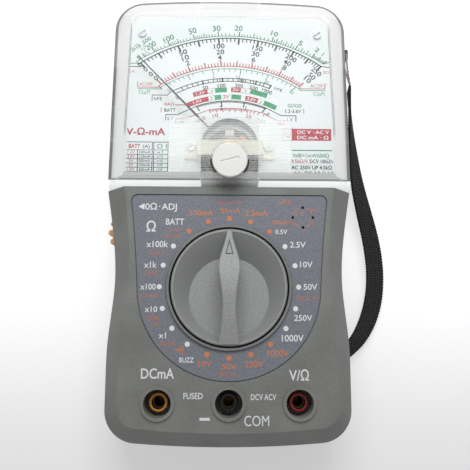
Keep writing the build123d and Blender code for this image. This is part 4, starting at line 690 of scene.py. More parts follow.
class Recipe(Nodes):
    """A Geometry Nodes tree with named inputs, built one node at a time."""

    family = "GeometryNode"

    def __init__(self, name, **inputs):
        super().__init__(bpy.data.node_groups.new(name, "GeometryNodeTree"))
        self.ids = {}
        self.tree.interface.new_socket("Geometry", in_out="OUTPUT", socket_type="NodeSocketGeometry")
        for label, kind in {"Geometry": "Geometry", **inputs, "Material": "Material"}.items():
            made = self.tree.interface.new_socket(label, in_out="INPUT", socket_type="NodeSocket" + kind)
            self.ids[label] = made.identifier
        sockets = self.tree.nodes.new("NodeGroupInput").outputs
        self.given = {label: Given(self, sockets[label]) for label in self.ids}

    def scaled(self, vector, by):
        return self.add("ShaderNodeVectorMath", {"operation": "SCALE"}, in0=vector, Scale=by)

    def xyz(self, x=0.0, y=0.0, z=0.0):
        return self.add("ShaderNodeCombineXYZ", X=x, Y=y, Z=z)

    def index(self):
        return self.add("InputIndex")

    def named(self, label):
        """A number kept on the geometry, read by its name."""
        return self.add("InputNamedAttribute", {"data_type": "FLOAT"}, Name=label)

    def finished(self, geometry):
        """Real geometry with its material, as the tree's result."""
        real = self.add("RealizeInstances", Geometry=geometry)
        dressed = self.add("SetMaterial", Geometry=real, Material=self.given["Material"])
        self.feed(self.tree.nodes.new("NodeGroupOutput").inputs[0], dressed)
        return self

    def grown(self, start=None, **values):
        """The plain mesh that the tree makes from a starting mesh."""
        start = start or bpy.data.meshes.new("start")
        stand = placed("stand", start)
        modifier = stand.modifiers.new("recipe", "NODES")
        modifier.node_group = self.tree
        for label, value in values.items():
            modifier[self.ids[label]] = value
        bpy.context.view_layer.update()
        evaluated = stand.evaluated_get(bpy.context.evaluated_depsgraph_get())
        made = bpy.data.meshes.new_from_object(evaluated)
        stand.modifiers.clear()
        bpy.data.objects.remove(stand)
        bpy.data.meshes.remove(start)
        return made


def graduation_recipe():
    """A printed tick on each point, by the point's own turn, length and width."""
    tree = Recipe("graduations")
    tick = tree.add("MeshGrid", Size_X=1.0, Size_Y=1.0, Vertices_X=2, Vertices_Y=2)
    tick = tree.add("Transform", Geometry=tick, Translation=(0, 0.5, 0))
    return tree.finished(tree.add(
        "InstanceOnPoints", Points=tree.given["Geometry"], Instance=tick,
        Rotation=tree.xyz(z=tree.named("turn")),
        Scale=tree.xyz(tree.named("width"), tree.named("length"), 1.0),
    ))


graduation_tree = graduation_recipe()


def graduations(marks):
    """Ticks as one mesh, in millimetres."""
    points = bpy.data.meshes.new("marks")
    points.from_pydata([(x, y, 0) for x, y, *_ in marks], [], [])
    for label, index in (("turn", 2), ("length", 3), ("width", 4)):
        points.attributes.new(label, "FLOAT", "POINT").data.foreach_set("value", [m[index] for m in marks])
    return graduation_tree.grown(points)


# ---------------------------------------------------------------- dial print
INK_SPREAD = 1.45
black = Sheet("dial_print_black", DIAL, ink("dial_black", (24, 26, 28)), INK_SPREAD)
green = Sheet("dial_print_green", DIAL, ink("dial_green", (42, 142, 104)), INK_SPREAD)
bars = Sheet("dial_print_bars", DIAL, ink("dial_bar_green", (40, 160, 104)))
red = Sheet("dial_print_red", DIAL, ink("dial_red", (196, 44, 68)), INK_SPREAD)
over = Sheet("dial_print_white", DIAL + 0.02, ink("dial_paper", (247, 251, 251)))


def swing(share):
    """The needle's angle from straight up, degrees, at a share of full scale."""
    return -44.15 + 89.41 * share + 30.1 * share**2 - 30.1 * share**3


def fanned(x, y):
    """The turn of lettering that stands away from the needle's pivot, degrees."""
    return degrees(atan2(-x, y - COIL_Y))


def scale_arc(middle_y, radius):
    """A scale's curve: the place that the needle crosses at a share, moved out by a distance."""

    def place(share, out=0.0):
        angle = radians(swing(share))
        drop = COIL_Y - middle_y
        reach = -drop * cos(angle) + sqrt((radius + out) ** 2 - (drop * sin(angle)) ** 2)
        return reach * sin(angle), COIL_Y + reach * cos(angle)

    return place


def ruled(sheet, curve, shares, length, width=0.22, every=0, longer=0.0, bolder=0.0):
    """Graduations on a scale; a negative length reaches inward."""
    for count, share in enumerate(shares):
        main = every and count % every == 0
        x, y = curve(share)
        turn = -radians(swing(share)) + (pi if length < 0 else 0)
        reach = abs(length) + (longer if main else 0)
        sheet.mark(x, y, turn, reach, width + (bolder if main else 0))


def even(count, first=0.0, last=1.0, whole=None):
    """Shares at even steps, as many of them as asked."""
    return [first + (last - first) * i / count for i in range((whole or count) + 1)]


def ohms(*values):
    """Shares of full scale at resistances, for a mid-scale of 20."""
    return [20 / (value + 20) for value in values]


FARADS = ((0, 0.01), (5, 0.34), (10, 0.53), (20, 0.73), (50, 0.975))


def farads(*values):
    """Shares of full scale at capacitances, between the listed ones."""
    shares = []
    for value in values:
        (low, start), (high, end) = next(pair for pair in zip(FARADS, FARADS[1:]) if value <= pair[1][0])
        shares.append(start + (end - start) * (value - low) / (high - low))
    return shares


ohm_curve = scale_arc(34.85, 67.4)
volt_curve = scale_arc(37.07, 64.2)
ac_curve = scale_arc(37.98, 51.2)
farad_curve = scale_arc(37.48, 50.67)
gain_top = scale_arc(34.95, 49.05)
gain_low = scale_arc(37.48, 45.3)
load_curve = scale_arc(36.57, 37.95)
decibel_curve = scale_arc(24.76, 46.6)

# Resistance, green, over volts and amps, black. Steps are first, last and step in ohms.
OHM_STEPS = (
    (0, 2, 0.2), (2, 10, 0.5), (10, 20, 1), (20, 30, 2),
    (30, 50, 2), (50, 100, 5), (100, 200, 20), (200, 500, 100),
)
green.arc(ohm_curve, -0.01, 1.0, 0.2)
for low, high, step in OHM_STEPS:
    count = round((high - low) / step)
    shares = ohms(*(low + i * step for i in range(count + 1)))
    ruled(green, ohm_curve, shares, 1.2, 0.2, 2 if count == 16 else 5, 0.7, 0.05)
ruled(green, ohm_curve, ohms(0, 1, 2, 5, 10, 20, 30, 50, 100, 200, 500, 1000, 2000), 2.0, 0.26)
black.arc(volt_curve, -0.015, 1.0, 0.3)
ruled(black, volt_curve, even(50), -1.5, 0.27, 5, 1.1, 0.22)
black.lines(
    0.22,
    [volt_curve(-0.015), (-35.6, 88.6), (-42.2, 88.6)],
    [volt_curve(1.0), (41.5, 88.9), (45.2, 88.9)],
)
green.lines(
    0.2,
    [ohm_curve(-0.01), (-36.6, 90.0), (-42.0, 90.0)],
    [ohm_curve(1.0), (40.4, 91.4), (45.0, 91.4)],
)
for text, x, y, width, height in (
    ("2k", -39.1, 96.1, 2.1, 1.6), ("1k", -37.2, 97.7, 2.1, 1.9), ("500", -33.8, 99.9, 3.9, 1.6),
    ("200", -32.1, 97.7, 4.5, 2.2), ("100", -24.9, 100.8, 4.5, 2.2), ("50", -15.3, 104.3, 3.2, 2.3),
    ("30", -5.5, 105.5, 3.3, 2.3), ("20", 3.5, 105.7, 3.2, 2.2), ("10", 18.2, 103.5, 2.9, 2.0),
    ("5", 28.8, 99.5, 1.7, 2.0), ("2", 35.5, 96.6, 1.7, 1.9), ("1", 37.8, 94.8, None, 1.8),
    ("0", 41.5, 92.9, None, 1.9),
):
    green.words(text, x, y, height, width, fanned(x, y), 0.01)
green.labels(("∞", -41.2, 94.8, 1.6, 2.4, 42), ("Ω", -41.1, 91.6, 1.9, 1.9))
green.lines(0.15, [(-35.4, 95.6), (-36.4, 97.0)], [(-33.6, 94.4), (-34.8, 96.4), (-34.9, 98.6)])
red.labels(("DCV,A", -40.4, 86.7, 1.1, 4.2), ("DCV,A", 39.6, 87.0, 1.2, 3.6))
for text, x, y, width in (
    ("50", -19.0, 94.9, 3.3), ("10", -18.0, 92.6, 3.0), ("2", -17.1, 90.4, 1.6),
    ("100", -4.4, 97.8, 4.4), ("20", -3.9, 95.3, 3.2), ("4", -4.1, 92.9, 1.6),
    ("150", 11.2, 97.1, 4.2), ("30", 10.4, 94.6, 3.1), ("6", 9.6, 92.1, 1.5),
    ("200", 24.8, 93.0, 4.7), ("40", 23.2, 91.0, 3.1), ("8", 22.0, 88.8, 1.6),
    ("250", 35.0, 87.3, 4.5), ("50", 33.1, 85.3, 3.1), ("10", 31.4, 83.8, 2.9),
    ("0", -33.9, 87.5, 1.4), ("0", -31.8, 85.5, 1.4), ("0", -29.7, 83.7, 1.4),
):
    black.words(text, x, y, 2.0, width, fanned(x, y) * 0.92, 0.012)

# Alternating volts, red, over capacitance, green.
red.arc(ac_curve, -0.02, 1.0, 0.22)
ruled(red, ac_curve, even(50), 1.6, 0.25, 5, 0.7, 0.12)
red.lines(
    0.2,
    [ac_curve(-0.02), (-27.8, 79.9), (-36.6, 79.9)],
    [ac_curve(1.0), (28.2, 79.9), (38.3, 79.9)],
)
red.labels(("AC10V", -33.6, 81.2, 1.4, 5.2), ("AC10V", 35.0, 81.2, 1.4, 5.2))
red.lines(0.22, [(-36.9, 82.2), (-36.9, 80.2)], [(38.3, 82.2), (38.3, 80.2)])
for share, x, y in ((0.2, -16.9, 89.2), (0.4, -4.6, 91.6), (0.6, 8.6, 91.0), (0.8, 20.8, 88.2)):
    red.line([ac_curve(share, 2.2), (x, y)], 0.15)
green.arc(farad_curve, -0.02, 1.0, 0.18)
green.lines(
    0.18,
    [farad_curve(-0.02), (-27.2, 79.2), (-36.8, 79.2)],
    [farad_curve(1.0), (28.4, 79.2), (38.4, 79.2)],
)
minor = farads(0.5, 1, 1.5, 2, 3, 4, 6, 7, 8, 9, 12, 14, 16, 18, 25, 30, 35, 40, 45)
ruled(green, farad_curve, minor, -1.3, 0.18)
ruled(green, farad_curve, farads(2.5, 5, 10, 20, 50), -2.4, 0.22)
for text, x, y in (
    ("0", -24.5, 78.7), ("5", -6.5, 84.2), ("10", 3.4, 84.6), ("20", 14.7, 82.6), ("50", 24.8, 78.4),
):
    green.words(text, x, y, 1.4, None, fanned(x, y))
green.labels(("C(µF)", -34.1, 77.9, 1.5, 4.6), ("C(µF)", 35.9, 77.9, 1.5, 4.6))

# Transistor gain: a ladder of two black arcs, its fine and bold rungs at shares of full scale.
FINE_RUNGS = (
    0.09, 0.13, 0.17, 0.21, 0.29, 0.33, 0.36, 0.38, 0.44, 0.48,
    0.52, 0.535, 0.565, 0.58, 0.62, 0.645, 0.7, 0.73,
)
BOLD_RUNGS = (0.025, 0.25, 0.4, 0.55, 0.665, 0.79)
black.arc(gain_top, 0.0, 0.79, 0.22)
black.arc(gain_low, 0.02, 0.79, 0.22)
for width, rungs in ((0.22, FINE_RUNGS), (0.42, BOLD_RUNGS)):
    black.lines(width, *([gain_top(share), gain_low(share)] for share in rungs))
black.line([gain_top(0.0), (-25.0, 76.6), (-31.0, 76.6), (-31.0, 74.2)], 0.2)
black.labels(("hFE", -28.6, 75.1, 1.3, 3.3), ("hFE", 19.5, 79.5, 1.2, 3.4, -22))
for text, x, y, width in (
    ("0", -21.1, 76.0, 1.0), ("50", -9.8, 80.2, 2.2), ("100", -3.3, 81.2, 3.2),
    ("200", 3.7, 81.2, 3.3), ("500", 9.6, 80.3, 3.3), ("1000", 14.9, 79.0, 4.2),
):
    black.words(text, x, y - 0.3, 1.5, width, fanned(x, y) * 0.8, 0.01)


def bar(sheet, row, x0, x1, tall=2.0, out=0.0):
    """A block of colour along a row's arc, and its middle with the turn there."""
    middle_y, radius = row
    radius += out

    def place(x, out):
        angle = atan2(x, sqrt(radius**2 - x**2))
        return (radius + out) * sin(angle), middle_y + (radius + out) * cos(angle)

    xs = even(8, x0, x1)
    sheet.strip([place(x, tall / 2) for x in xs], [place(x, -tall / 2) for x in xs])
    middle = (x0 + x1) / 2
    return (*place(middle, 0), -degrees(atan2(middle, radius)))


# Battery test: two rows of blocks.
UPPER_ROW = (33.0, 46.2)
LOWER_ROW = (36.4, 39.8)
for sheet, row, x0, x1, text in (
    (red, UPPER_ROW, -14.6, -8.9, "1.2V"), (bars, UPPER_ROW, -5.9, -1.2, ""),
    (red, UPPER_ROW, 0.5, 4.4, "2V"), (bars, UPPER_ROW, 8.2, 14.9, ""),
    (red, LOWER_ROW, -17.3, -8.5, "1.5V"), (bars, LOWER_ROW, -6.0, -3.4, ""),
    (bars, LOWER_ROW, 0.6, 4.5, ""), (red, LOWER_ROW, 6.2, 11.2, "3.6V"),
    (bars, LOWER_ROW, 13.6, 18.5, ""),
):
    x, y, turn = bar(sheet, row, x0, x1)
    if text:
        over.words(text, x, y, 1.15, min(x1 - x0 - 1.2, 3.6), turn, 0.015)
for sheet, row, x0, x1 in (
    (red, UPPER_ROW, -8.9, -5.9), (red, UPPER_ROW, 4.4, 8.2),
    (bars, LOWER_ROW, -8.5, -6.0), (bars, LOWER_ROW, 11.2, 13.6),
):
    for out in (0.93, -0.93):
        bar(sheet, row, x0, x1, 0.14, out)
x, y, turn = bar(over, LOWER_ROW, -3.4, 0.6, 0.2)
red.words("3V", x, y, 1.5, 2.6, turn, 0.02)
for x, y, turn in ((-7.2, 78.3, 9), (-7.2, 75.4, 10), (12.4, 73.9, -18), (6.4, 78.6, -8)):
    bars.words("?", x, y, 1.1, 0.8, turn)

# Load volts, black, and decibels, red.
black.arc(load_curve, 0.1, 0.885, 0.2)
ruled(black, load_curve, even(60, 0.1, 0.885), -0.75, 0.22, 20, 1.6, 0.1)
for text, x, y in (("2", -3.5, 71.6), ("1", 6.4, 71.6), ("0", 15.2, 69.0)):
    black.words(text, x, y, 1.6, None, fanned(x, y), 0.01)
red.arc(decibel_curve, 0.2, 0.93, 0.18)
ruled(red, decibel_curve, even(44, 0.2, 0.93, 30), -0.9, 0.18, 5, 0.6, 0.05)
ruled(red, decibel_curve, [0.74, 0.79, 0.85, 0.93], -1.4, 0.24)
for text, x, y, width in (
    ("-10", -13.1, 65.8, 2.9), ("0", -10.3, 67.2, 1.2), ("10", -5.7, 68.3, 2.2),
    ("20", 7.5, 68.0, 2.2), ("+22", 12.5, 66.3, 3.2),
):
    red.words(text, x, y, 1.4, width, fanned(x, y + 12), 0.005)

# Names of the scales at both sides.
red.labels(
    ("BAD", -24.1, 72.9, 1.25, 3.7), ("dB", -19.3, 65.4, 1.2, 2.4), ("dB", 19.9, 65.1, 1.2, 2.4),
)
red.line([(-21.6, 72.6), (-17.6, 72.6)], 0.25)
red.lines(0.2, [(-27.3, 71.4), (-27.3, 69.6)], [(29.6, 71.3), (29.6, 69.5)])
red.lines(
    0.18,
    [decibel_curve(0.2), (-18.0, 66.8), (-21.4, 66.8), (-21.4, 64.8)],
    [decibel_curve(0.93), (18.4, 66.5), (21.9, 66.5), (21.9, 64.4)],
)
black.labels(
    ("BATT", -23.8, 70.4, 1.35, 4.5), ("LV", -23.4, 66.9, 1.3, 2.4), ("1.2-3.6V", 25.4, 70.4, 1.35, 6.4),
    weight=0.01,
)
black.lines(
    0.22,
    [load_curve(0.1), (-20.8, 68.5), (-25.4, 68.5), (-25.4, 66.4)],
    [load_curve(0.885), (20.6, 68.5), (26.4, 68.5), (26.4, 66.3)],
)
black.words("LV", 24.0, 66.9, 1.4, 2.3)
green.words("GOOD", 26.0, 72.7, 1.4, 5.6, 0, 0.01)

# Tables low on the dial.
red.words("V-Ω-mA", -33.2, 61.4, 2.7, 15.5, 0, 0.02)
for x0, x1 in ((-41.9, -30.4), (-29.8, -24.2)):
    black.line([(x0, 45.1), (x1, 45.1), (x1, 57.1), (x0, 57.1), (x0, 45.1)], 0.2)
    black.lines(0.14, *([(x0, y), (x1, y)] for y in (53.9, 52.0, 50.3, 48.5, 46.8)))
black.line([(-36.1, 53.9), (-36.1, 45.1)], 0.2)
red.words("BATT", -37.4, 55.4, 1.6, 4.6, 0, 0.02)
black.words("(A)", -32.8, 55.4, 1.3, 2.7)
green.words("Ω I", -26.6, 55.4, 1.7, 3.8)
TESTS = (("1.2V", "100mA"), ("3.6V", "125mA"), ("3V", "50mA"), ("2V", "10mA"), ("1.5V", "60mA"))
for row, (volts, amps) in enumerate(TESTS):
    y = 53.0 - 1.75 * row
    red.words(volts, -38.6, y, 1.1, 2.9 if "." in volts else 1.8)
    black.words(amps, -33.3, y, 1.1, 4.4)
    green.words("x" + str(10**row)[:4], -27.4, y, 1.0, 2.4)
red.line([(24.6, 63.0), (21.2, 63.0), (21.2, 58.3), (24.6, 58.3)], 0.2)
red.disc(23.1, 60.7, 1.1, 0.75)
red.face([(24.6, 58.2), (40.4, 58.2), (40.4, 63.1), (24.6, 63.1)])
over.labels(
    ("DC V · AC V", 33.2, 61.7, 1.35, 12.6), ("DC mA · Ω", 33.0, 59.5, 1.35, 12.4), weight=0.02,
)
green.line([(24.8, 54.2), (40.4, 54.2)], 0.3)
green.words("0dB=1mW600Ω", 32.2, 52.1, 1.5, 14.2, 0, 0.01)
green.words("Ω 3.0", 38.6, 44.9, 1.4, 4.4)
red.labels(("4.5kΩ/V", 27.6, 49.8, 1.4, 6.6), ("4.0", 26.6, 44.9, 1.4, 2.6))
black.labels(
    ("DCV 10kΩ/V", 36.4, 49.8, 1.4, 9.6), ("AC 250V UP 4.5kΩ", 32.3, 47.2, 1.4, 16.0),
    ("DC 3.0", 32.6, 44.9, 1.4, 6.0), weight=0.01,
)

for sheet in (black, green, bars, red, over):
    sheet.laid()

# ---------------------------------------------------------------- panel and face print
white = Sheet("panel_print_white", PANEL, ink("panel_white", (246, 249, 251)))
orange = Sheet("panel_print_orange", PANEL, ink("panel_orange", (226, 138, 92)))
rust = Sheet("panel_print_rust", PANEL, ink("panel_rust", (206, 128, 104)), 1.3)
face_print = Sheet("face_print_white", FACE, ink("face_white", (244, 246, 246)))

DOT_CIRCLE = 26.0
DOT_R = 0.95
POSITION = 2 * pi / 20


def dot_recipe():
    """Spots evenly round a circle, from a first position on, as many as asked."""
    tree = Recipe("range_dots", Count="Int", Circle="Float", Spot="Float", Step="Float", First="Float")
    given = tree.given
    row = tree.add("MeshLine", Count=given["Count"])
    angle = given["First"] + tree.index() * given["Step"]
    spot_at = tree.scaled(tree.xyz(angle.through("COSINE"), angle.through("SINE")), given["Circle"])
    row = tree.add("SetPosition", Geometry=row, Position=spot_at)
    spot = tree.add("MeshCircle", {"fill_type": "NGON"}, Vertices=24, Radius=given["Spot"])
    return tree.finished(tree.add("InstanceOnPoints", Points=row, Instance=spot))


dot_tree = dot_recipe()
for sheet, first, count in (
    (white, -2, 5), (white, 8, 6), (orange, 3, 5), (orange, -6, 4),
):
    places = {"Count": count, "Step": POSITION, "First": first * POSITION}
    dots = dot_tree.grown(Circle=DOT_CIRCLE, Spot=DOT_R, Material=sheet.material, **places)
    sheet.mesh.from_mesh(dots)

white.labels(
    ("0Ω", -29.8, 30.4, 2.4, 4.5), ("ADJ", -22.9, 30.4, 2.4, 5.8), ("Ω", -29.6, 22.7, 3.8, 3.5),
    ("BATT", -20.6, 24.6, 2.3, 6.9), ("x100k", -27.1, 16.0, 2.3, 8.2), ("x1k", -29.5, 8.2, 2.25, 4.7),
    ("x100", -30.2, 0.0, 2.1, 5.7), ("x10", -28.9, -8.3, 2.0, 4.6), ("x1", -24.5, -17.8, 2.1, 2.7),
    ("BUZZ", -15.5, -26.7, 1.75, 5.3), ("0.5V", 19.7, 20.9, 1.65, 4.6), ("2.5V", 25.9, 16.0, 2.1, 6.0),
    ("10V", 29.0, 8.5, 2.1, 4.8), ("50V", 30.4, 0.1, 2.1, 5.2), ("250V", 27.5, -11.4, 2.1, 6.7),
    ("1000V", 23.5, -18.8, 2.3, 8.1), weight=0.012,
)
white.face([(-34.6, 30.4), (-32.3, 29.15), (-32.3, 31.65)])
white.disc(-26.55, 30.5, 0.28)
orange.labels(
    ("500mA", -10.8, 28.1, 2.1, 9.3), ("25mA", 0.3, 29.0, 1.9, 7.7), ("2.5mA", 10.3, 28.1, 2.05, 8.6),
    ("100µA", 19.3, 24.6, 1.5, 5.9), ("10V", -8.7, -28.0, 2.0, 4.9), ("50V", 0.1, -29.1, 2.0, 5.4),
    ("250V", 9.2, -28.2, 2.2, 6.7), ("1000V", 18.0, -24.2, 2.3, 7.8), weight=0.004,
)
rust.labels(
    ("DCmA", -1.3, 32.1, 1.35, 6.6), ("hFE", 21.4, 32.4, 1.6, 4.7), ("ACV~", 0.2, -31.8, 1.8, 7.3),
    ("1.2/1.5V", -21.0, 21.5, 1.25, 6.3), ("RL=12Ω", -21.0, 19.2, 1.25, 6.3),
    ("Cx0.1", -27.4, 12.8, 1.55, 5.2), ("Cx10", -29.4, 5.2, 1.5, 5.1), ("Cx100", -29.9, -3.2, 1.55, 6.0),
    ("Cx1k", -28.2, -11.4, 1.55, 4.6), ("hFE", -27.3, -13.5, 1.1, 2.7), ("Cx10k", -22.4, -20.7, 1.6, 5.5),
    ("DCV", 27.9, -4.2, 1.7, 4.5),
)
for x0, x1, y in ((2.7, 5.0, 32.1), (31.0, 33.8, -4.2)):
    rust.line([(x0, y + 0.3), (x1, y + 0.3)], 0.2)
    starts = [x0 + (x1 - x0) * (i + 0.1) / 3 for i in range(3)]
    rust.lines(0.2, *([(x, y - 0.3), (x + 0.3, y - 0.3)] for x in starts))


def ring(x, y, radius):
    """A circle as a curve, by its angle, moved out by a distance."""
    return lambda angle, out: (x + (radius + out) * cos(angle), y + (radius + out) * sin(angle))


# Sound sign, and the transistor socket's ring and pin letters.
orange.disc(-19.3, -23.1, 0.3)
for radius in (0.9, 1.7, 2.5):
    orange.arc(ring(-19.3, -23.1, radius), -0.75, 0.75, 0.3, 12)
low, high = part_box("hfe_socket")
HFE_X = (low.x + high.x) / 2 / MM
HFE_Y = ((low.y + high.y) / 2 - KNOB_Y) / MM
for quarter in range(4):
    middle = pi / 4 + quarter * pi / 2
    orange.arc(ring(HFE_X, HFE_Y, 3.85), middle - 0.42, middle + 0.42, 0.28, 10)
for text, x, y, width in (
    ("E", -2.6, 1.7, 1.0), ("PNP", 4.7, 2.9, 2.6), ("NPN", -4.6, -2.1, 2.6),
    ("C", 2.7, -1.9, 1.1), ("B", 0.0, 1.6, 1.0),
):
    rust.words(text, HFE_X + x, HFE_Y + y, 1.1, width)

face_print.words("DCmA", -25.9, -31.5, 3.5, 12.0, 0, 0.015)
face_print.words("COM", 10.1, -48.1, 3.6, 9.0)
face_print.face([(-10.5, -48.0), (-6.8, -48.0), (-6.8, -47.0), (-10.5, -47.0)])
face_print.labels(
    ("V/Ω", 25.6, -32.1, 3.6, 7.2), ("FUSED", -12.9, -39.4, 2.1, 7.0), ("DCV ACV", 12.6, -39.8, 2.0, 9.2),
    weight=0.012,
)

for sheet in (white, orange, rust, face_print):
    sheet.laid()

# ---------------------------------------------------------------- wrist strap and its thread
STRAP_LENGTH = 127.3
STRAP_WIDTH = 10.0
STRAP_THICKNESS = 1.3
WEAVE_ROWS = 110
WEAVE_COLUMNS = 8
YARN_LENGTH = 1.7
YARN_WIDTH = 0.98
YARN_SLANT = 0.62
# Route of the strap's centre line, and how far its width leans from upright, degrees.
STRAP_ROUTE = [
    (51.5, 86.6, 15.0, 8), (51.8, 75.0, 14.0, 14), (52.9, 61.0, 11.6, 30), (55.0, 47.0, 8.5, 44),
    (58.6, 33.5, 5.7, 54), (61.8, 21.0, 4.1, 58), (63.1, 8.0, 3.7, 58), (61.9, -4.0, 3.8, 58),
    (58.0, -14.5, 4.9, 54), (51.6, -23.0, 7.2, 42), (42.2, -30.4, 9.2, 24),
]
THREAD_LENGTH = 32.3
THREAD_THICKNESS = 0.84
THREAD_LAY = 3.2
THREAD_ROUTE = [
    (51.2, 86.75, 18.6, 0), (50.0, 91.6, 20.3, 0), (49.3, 97.0, 21.7, 0), (49.2, 99.9, 21.7, 0),
    (49.2, 99.9, 15.5, 0), (49.5, 97.0, 15.5, 0), (50.7, 91.6, 15.8, 0), (51.9, 86.75, 16.2, 0),
]


def route_curve(name, route):
    """A smooth curve with the route's points as its control points and their lean as its tilt."""
    data = bpy.data.curves.new(name, "CURVE")
    data.dimensions = "3D"
    data.resolution_u = 24
    spline = data.splines.new("NURBS")
    spline.points.add(len(route) - 1)
    for point, (x, y, z, lean) in zip(spline.points, route):
        point.co = (*at(x, y, z), 1.0)
        point.tilt = radians(lean)
    spline.order_u = 3
    spline.use_endpoint_u = True
    return placed(name, data)


def follow_recipe():
    """Bends a straight piece, lying along X, to a route; Y is across and Z is out of the flat."""
    tree = Recipe("follow_route", Route="Object", Length="Float")
    route = tree.add("ObjectInfo", out="Geometry", Object=tree.given["Route"])
    place = tree.add("InputPosition")
    x, y, z = (tree.part(place, letter) for letter in "XYZ")
    tilt = tree.add("InputCurveTilt")
    every = {"mode": "FACTOR", "use_all_curves": True}
    share = x / tree.given["Length"]
    lean = tree.add("SampleCurve", every, "Value", Curves=route, Factor=share, Value=tilt)
    middle, along = (Given(tree, lean.socket.node.outputs[name]) for name in ("Position", "Tangent"))
    side = tree.vector("NORMALIZE", tree.vector("CROSS_PRODUCT", along, (0, 0, 1)))
    down = tree.vector("CROSS_PRODUCT", along, side)
    c, s = lean.through("COSINE"), lean.through("SINE")
    across = tree.vector("SUBTRACT", tree.scaled(down, c), tree.scaled(side, s))
    out = tree.vector("ADD", tree.scaled(side, c), tree.scaled(down, s))
    away = tree.vector("ADD", tree.scaled(across, y), tree.scaled(out, z))
    moved = tree.vector("ADD", middle, away)
    return tree.finished(tree.add("SetPosition", Geometry=tree.given["Geometry"], Position=moved))


def weave_recipe():
    """Flat webbing: slanted yarns in rows over both faces of a core, their slant turning by column."""
    lengths = ("Length", "Width", "Thickness", "YarnLength", "YarnWidth", "Slant")
    tree = Recipe("woven_webbing", Columns="Int", Rows="Int", **{name: "Float" for name in lengths})
    given = tree.given
    columns, rows, yarn_width = given["Columns"], given["Rows"], given["YarnWidth"]
    cells = tree.add("MeshLine", Count=columns * rows * 2.0)
    column = tree.index() % columns
    line = (tree.index() / columns).through("FLOOR")
    row = line % rows
    face = (line / rows).through("FLOOR") * 2.0 - 1.0
    odd = column % 2.0
    x = (row + (odd * 0.4 + 0.3)) * given["Length"] / rows
    y = (column + 0.5) * (given["Width"] / columns) - given["Width"] * 0.5
    z = face * (given["Thickness"] * 0.5 - yarn_width * 0.3)
    cells = tree.add("SetPosition", Geometry=cells, Position=tree.xyz(x, y, z))
    slant = given["Slant"] * (odd * 2.0 - 1.0)
    yarn = tree.add("MeshUVSphere", Segments=6, Rings=4, Radius=0.5)
    yarn = tree.add("Transform", Geometry=yarn, Rotation=(0, pi / 2, 0))
    wobble = tree.add("FunctionNodeRandomValue", {"data_type": "FLOAT"}, 1, in2=0.92, in3=1.08, Seed=7)
    laid = tree.add(
        "InstanceOnPoints", Points=cells, Instance=yarn, Rotation=tree.xyz(z=slant),
        Scale=tree.xyz(given["YarnLength"] * wobble, yarn_width, yarn_width * 0.6),
    )
    real = tree.add("RealizeInstances", Geometry=laid)
    smooth = tree.add("SetShadeSmooth", Geometry=real)
    joined = tree.add("JoinGeometry", Geometry=smooth)
    tree.feed(joined.socket.node.inputs[0], given["Geometry"])
    return tree.finished(joined)


def straight_section(length, outline, steps, twist=0.0):
    """A straight piece along X with one cross-section, turning as it goes, capped at both ends, in metres."""
    mesh = bmesh.new()
    rings = []
    for i in range(steps + 1):
        turn = Matrix.Rotation(twist * i / steps, 4, "X") @ Matrix.Scale(MM, 4)
        rings.append([mesh.verts.new(turn @ Vector((length * i / steps, y, z))) for y, z in outline])
    for a, b in zip(rings, rings[1:]):
        for i in range(len(outline)):
            j = (i + 1) % len(outline)
            mesh.faces.new((a[i], a[j], b[j], b[i]))
    mesh.faces.new(rings[0][::-1])
    mesh.faces.new(rings[-1])
    bmesh.ops.recalc_face_normals(mesh, faces=mesh.faces)
    for quad in mesh.faces:
        quad.smooth = True
    return plain(mesh)


def black_webbing():
    """Black yarn with a painted highlight along the crown of each, and darker among the fibres."""
    made = Finish("black_webbing", (15, 14, 17), Sheen_Weight=0.08, Sheen_Roughness=0.4)
    fibres = made.noise(5200, 3, 0.6)
    lay = made.add("Attribute", {"attribute_name": "lay"}, "Vector")
    slant = made.part(lay, "Y").through("PINGPONG", STRAP_WIDTH / WEAVE_COLUMNS * MM)
    rows = made.part(lay, "X") * (WEAVE_ROWS / STRAP_LENGTH / MM) + slant * 420.0
    # Painted highlight along each yarn's crown.
    painted_crown_highlight = rows.through("PINGPONG", 0.5).between(0.0, 0.2, 1, 0)
    yarn_tone_with_highlight = made.blend(painted_crown_highlight, made.colour, shade(86, 84, 88))
    tint = made.blend(fibres.between(0.4, 0.7, 0, 0.5), yarn_tone_with_highlight, shade(12, 12, 14))
    return made.coat(tint, 0.7, fibres, 0.03).material


def twisted_thread():
    """Pale twisted thread."""
    made = Finish("twisted_thread", (176, 166, 158), Sheen_Weight=0.3)
    tint = made.varied(made.noise(1600, 3).between(0.3, 0.7), 0.25)
    return made.coat(tint, 0.7, made.noise(6000, 2), 0.02, 0.5).material


def webbing_core():
    """The outline of the flat core under the yarns."""
    half, thick = STRAP_WIDTH / 2 - 0.7, STRAP_THICKNESS / 2 - 0.45
    tip = half + 0.2
    return [(-half, -thick), (half, -thick), (tip, 0), (half, thick), (-half, thick), (-tip, 0)]


def two_ply(sides=16):
    """The outline of a thread of two strands."""
    angles = [2 * pi * i / sides for i in range(sides)]
    reaches = [THREAD_THICKNESS / 2 * (0.62 + 0.38 * abs(cos(a))) for a in angles]
    return [(reach * cos(a), reach * sin(a)) for a, reach in zip(angles, reaches)]


follow_tree = follow_recipe()


def along_route(straight, route, length, material):
    """A straight piece bent along a route, and points of the route in metres."""
    curve = route_curve("route", route)
    mesh = follow_tree.grown(straight, Route=curve, Length=length * MM, Material=material)
    line = bpy.data.meshes.new_from_object(curve)
    points = [v.co.copy() for v in line.vertices]
    bpy.data.meshes.remove(line)
    bpy.data.objects.remove(curve)
    return mesh, points


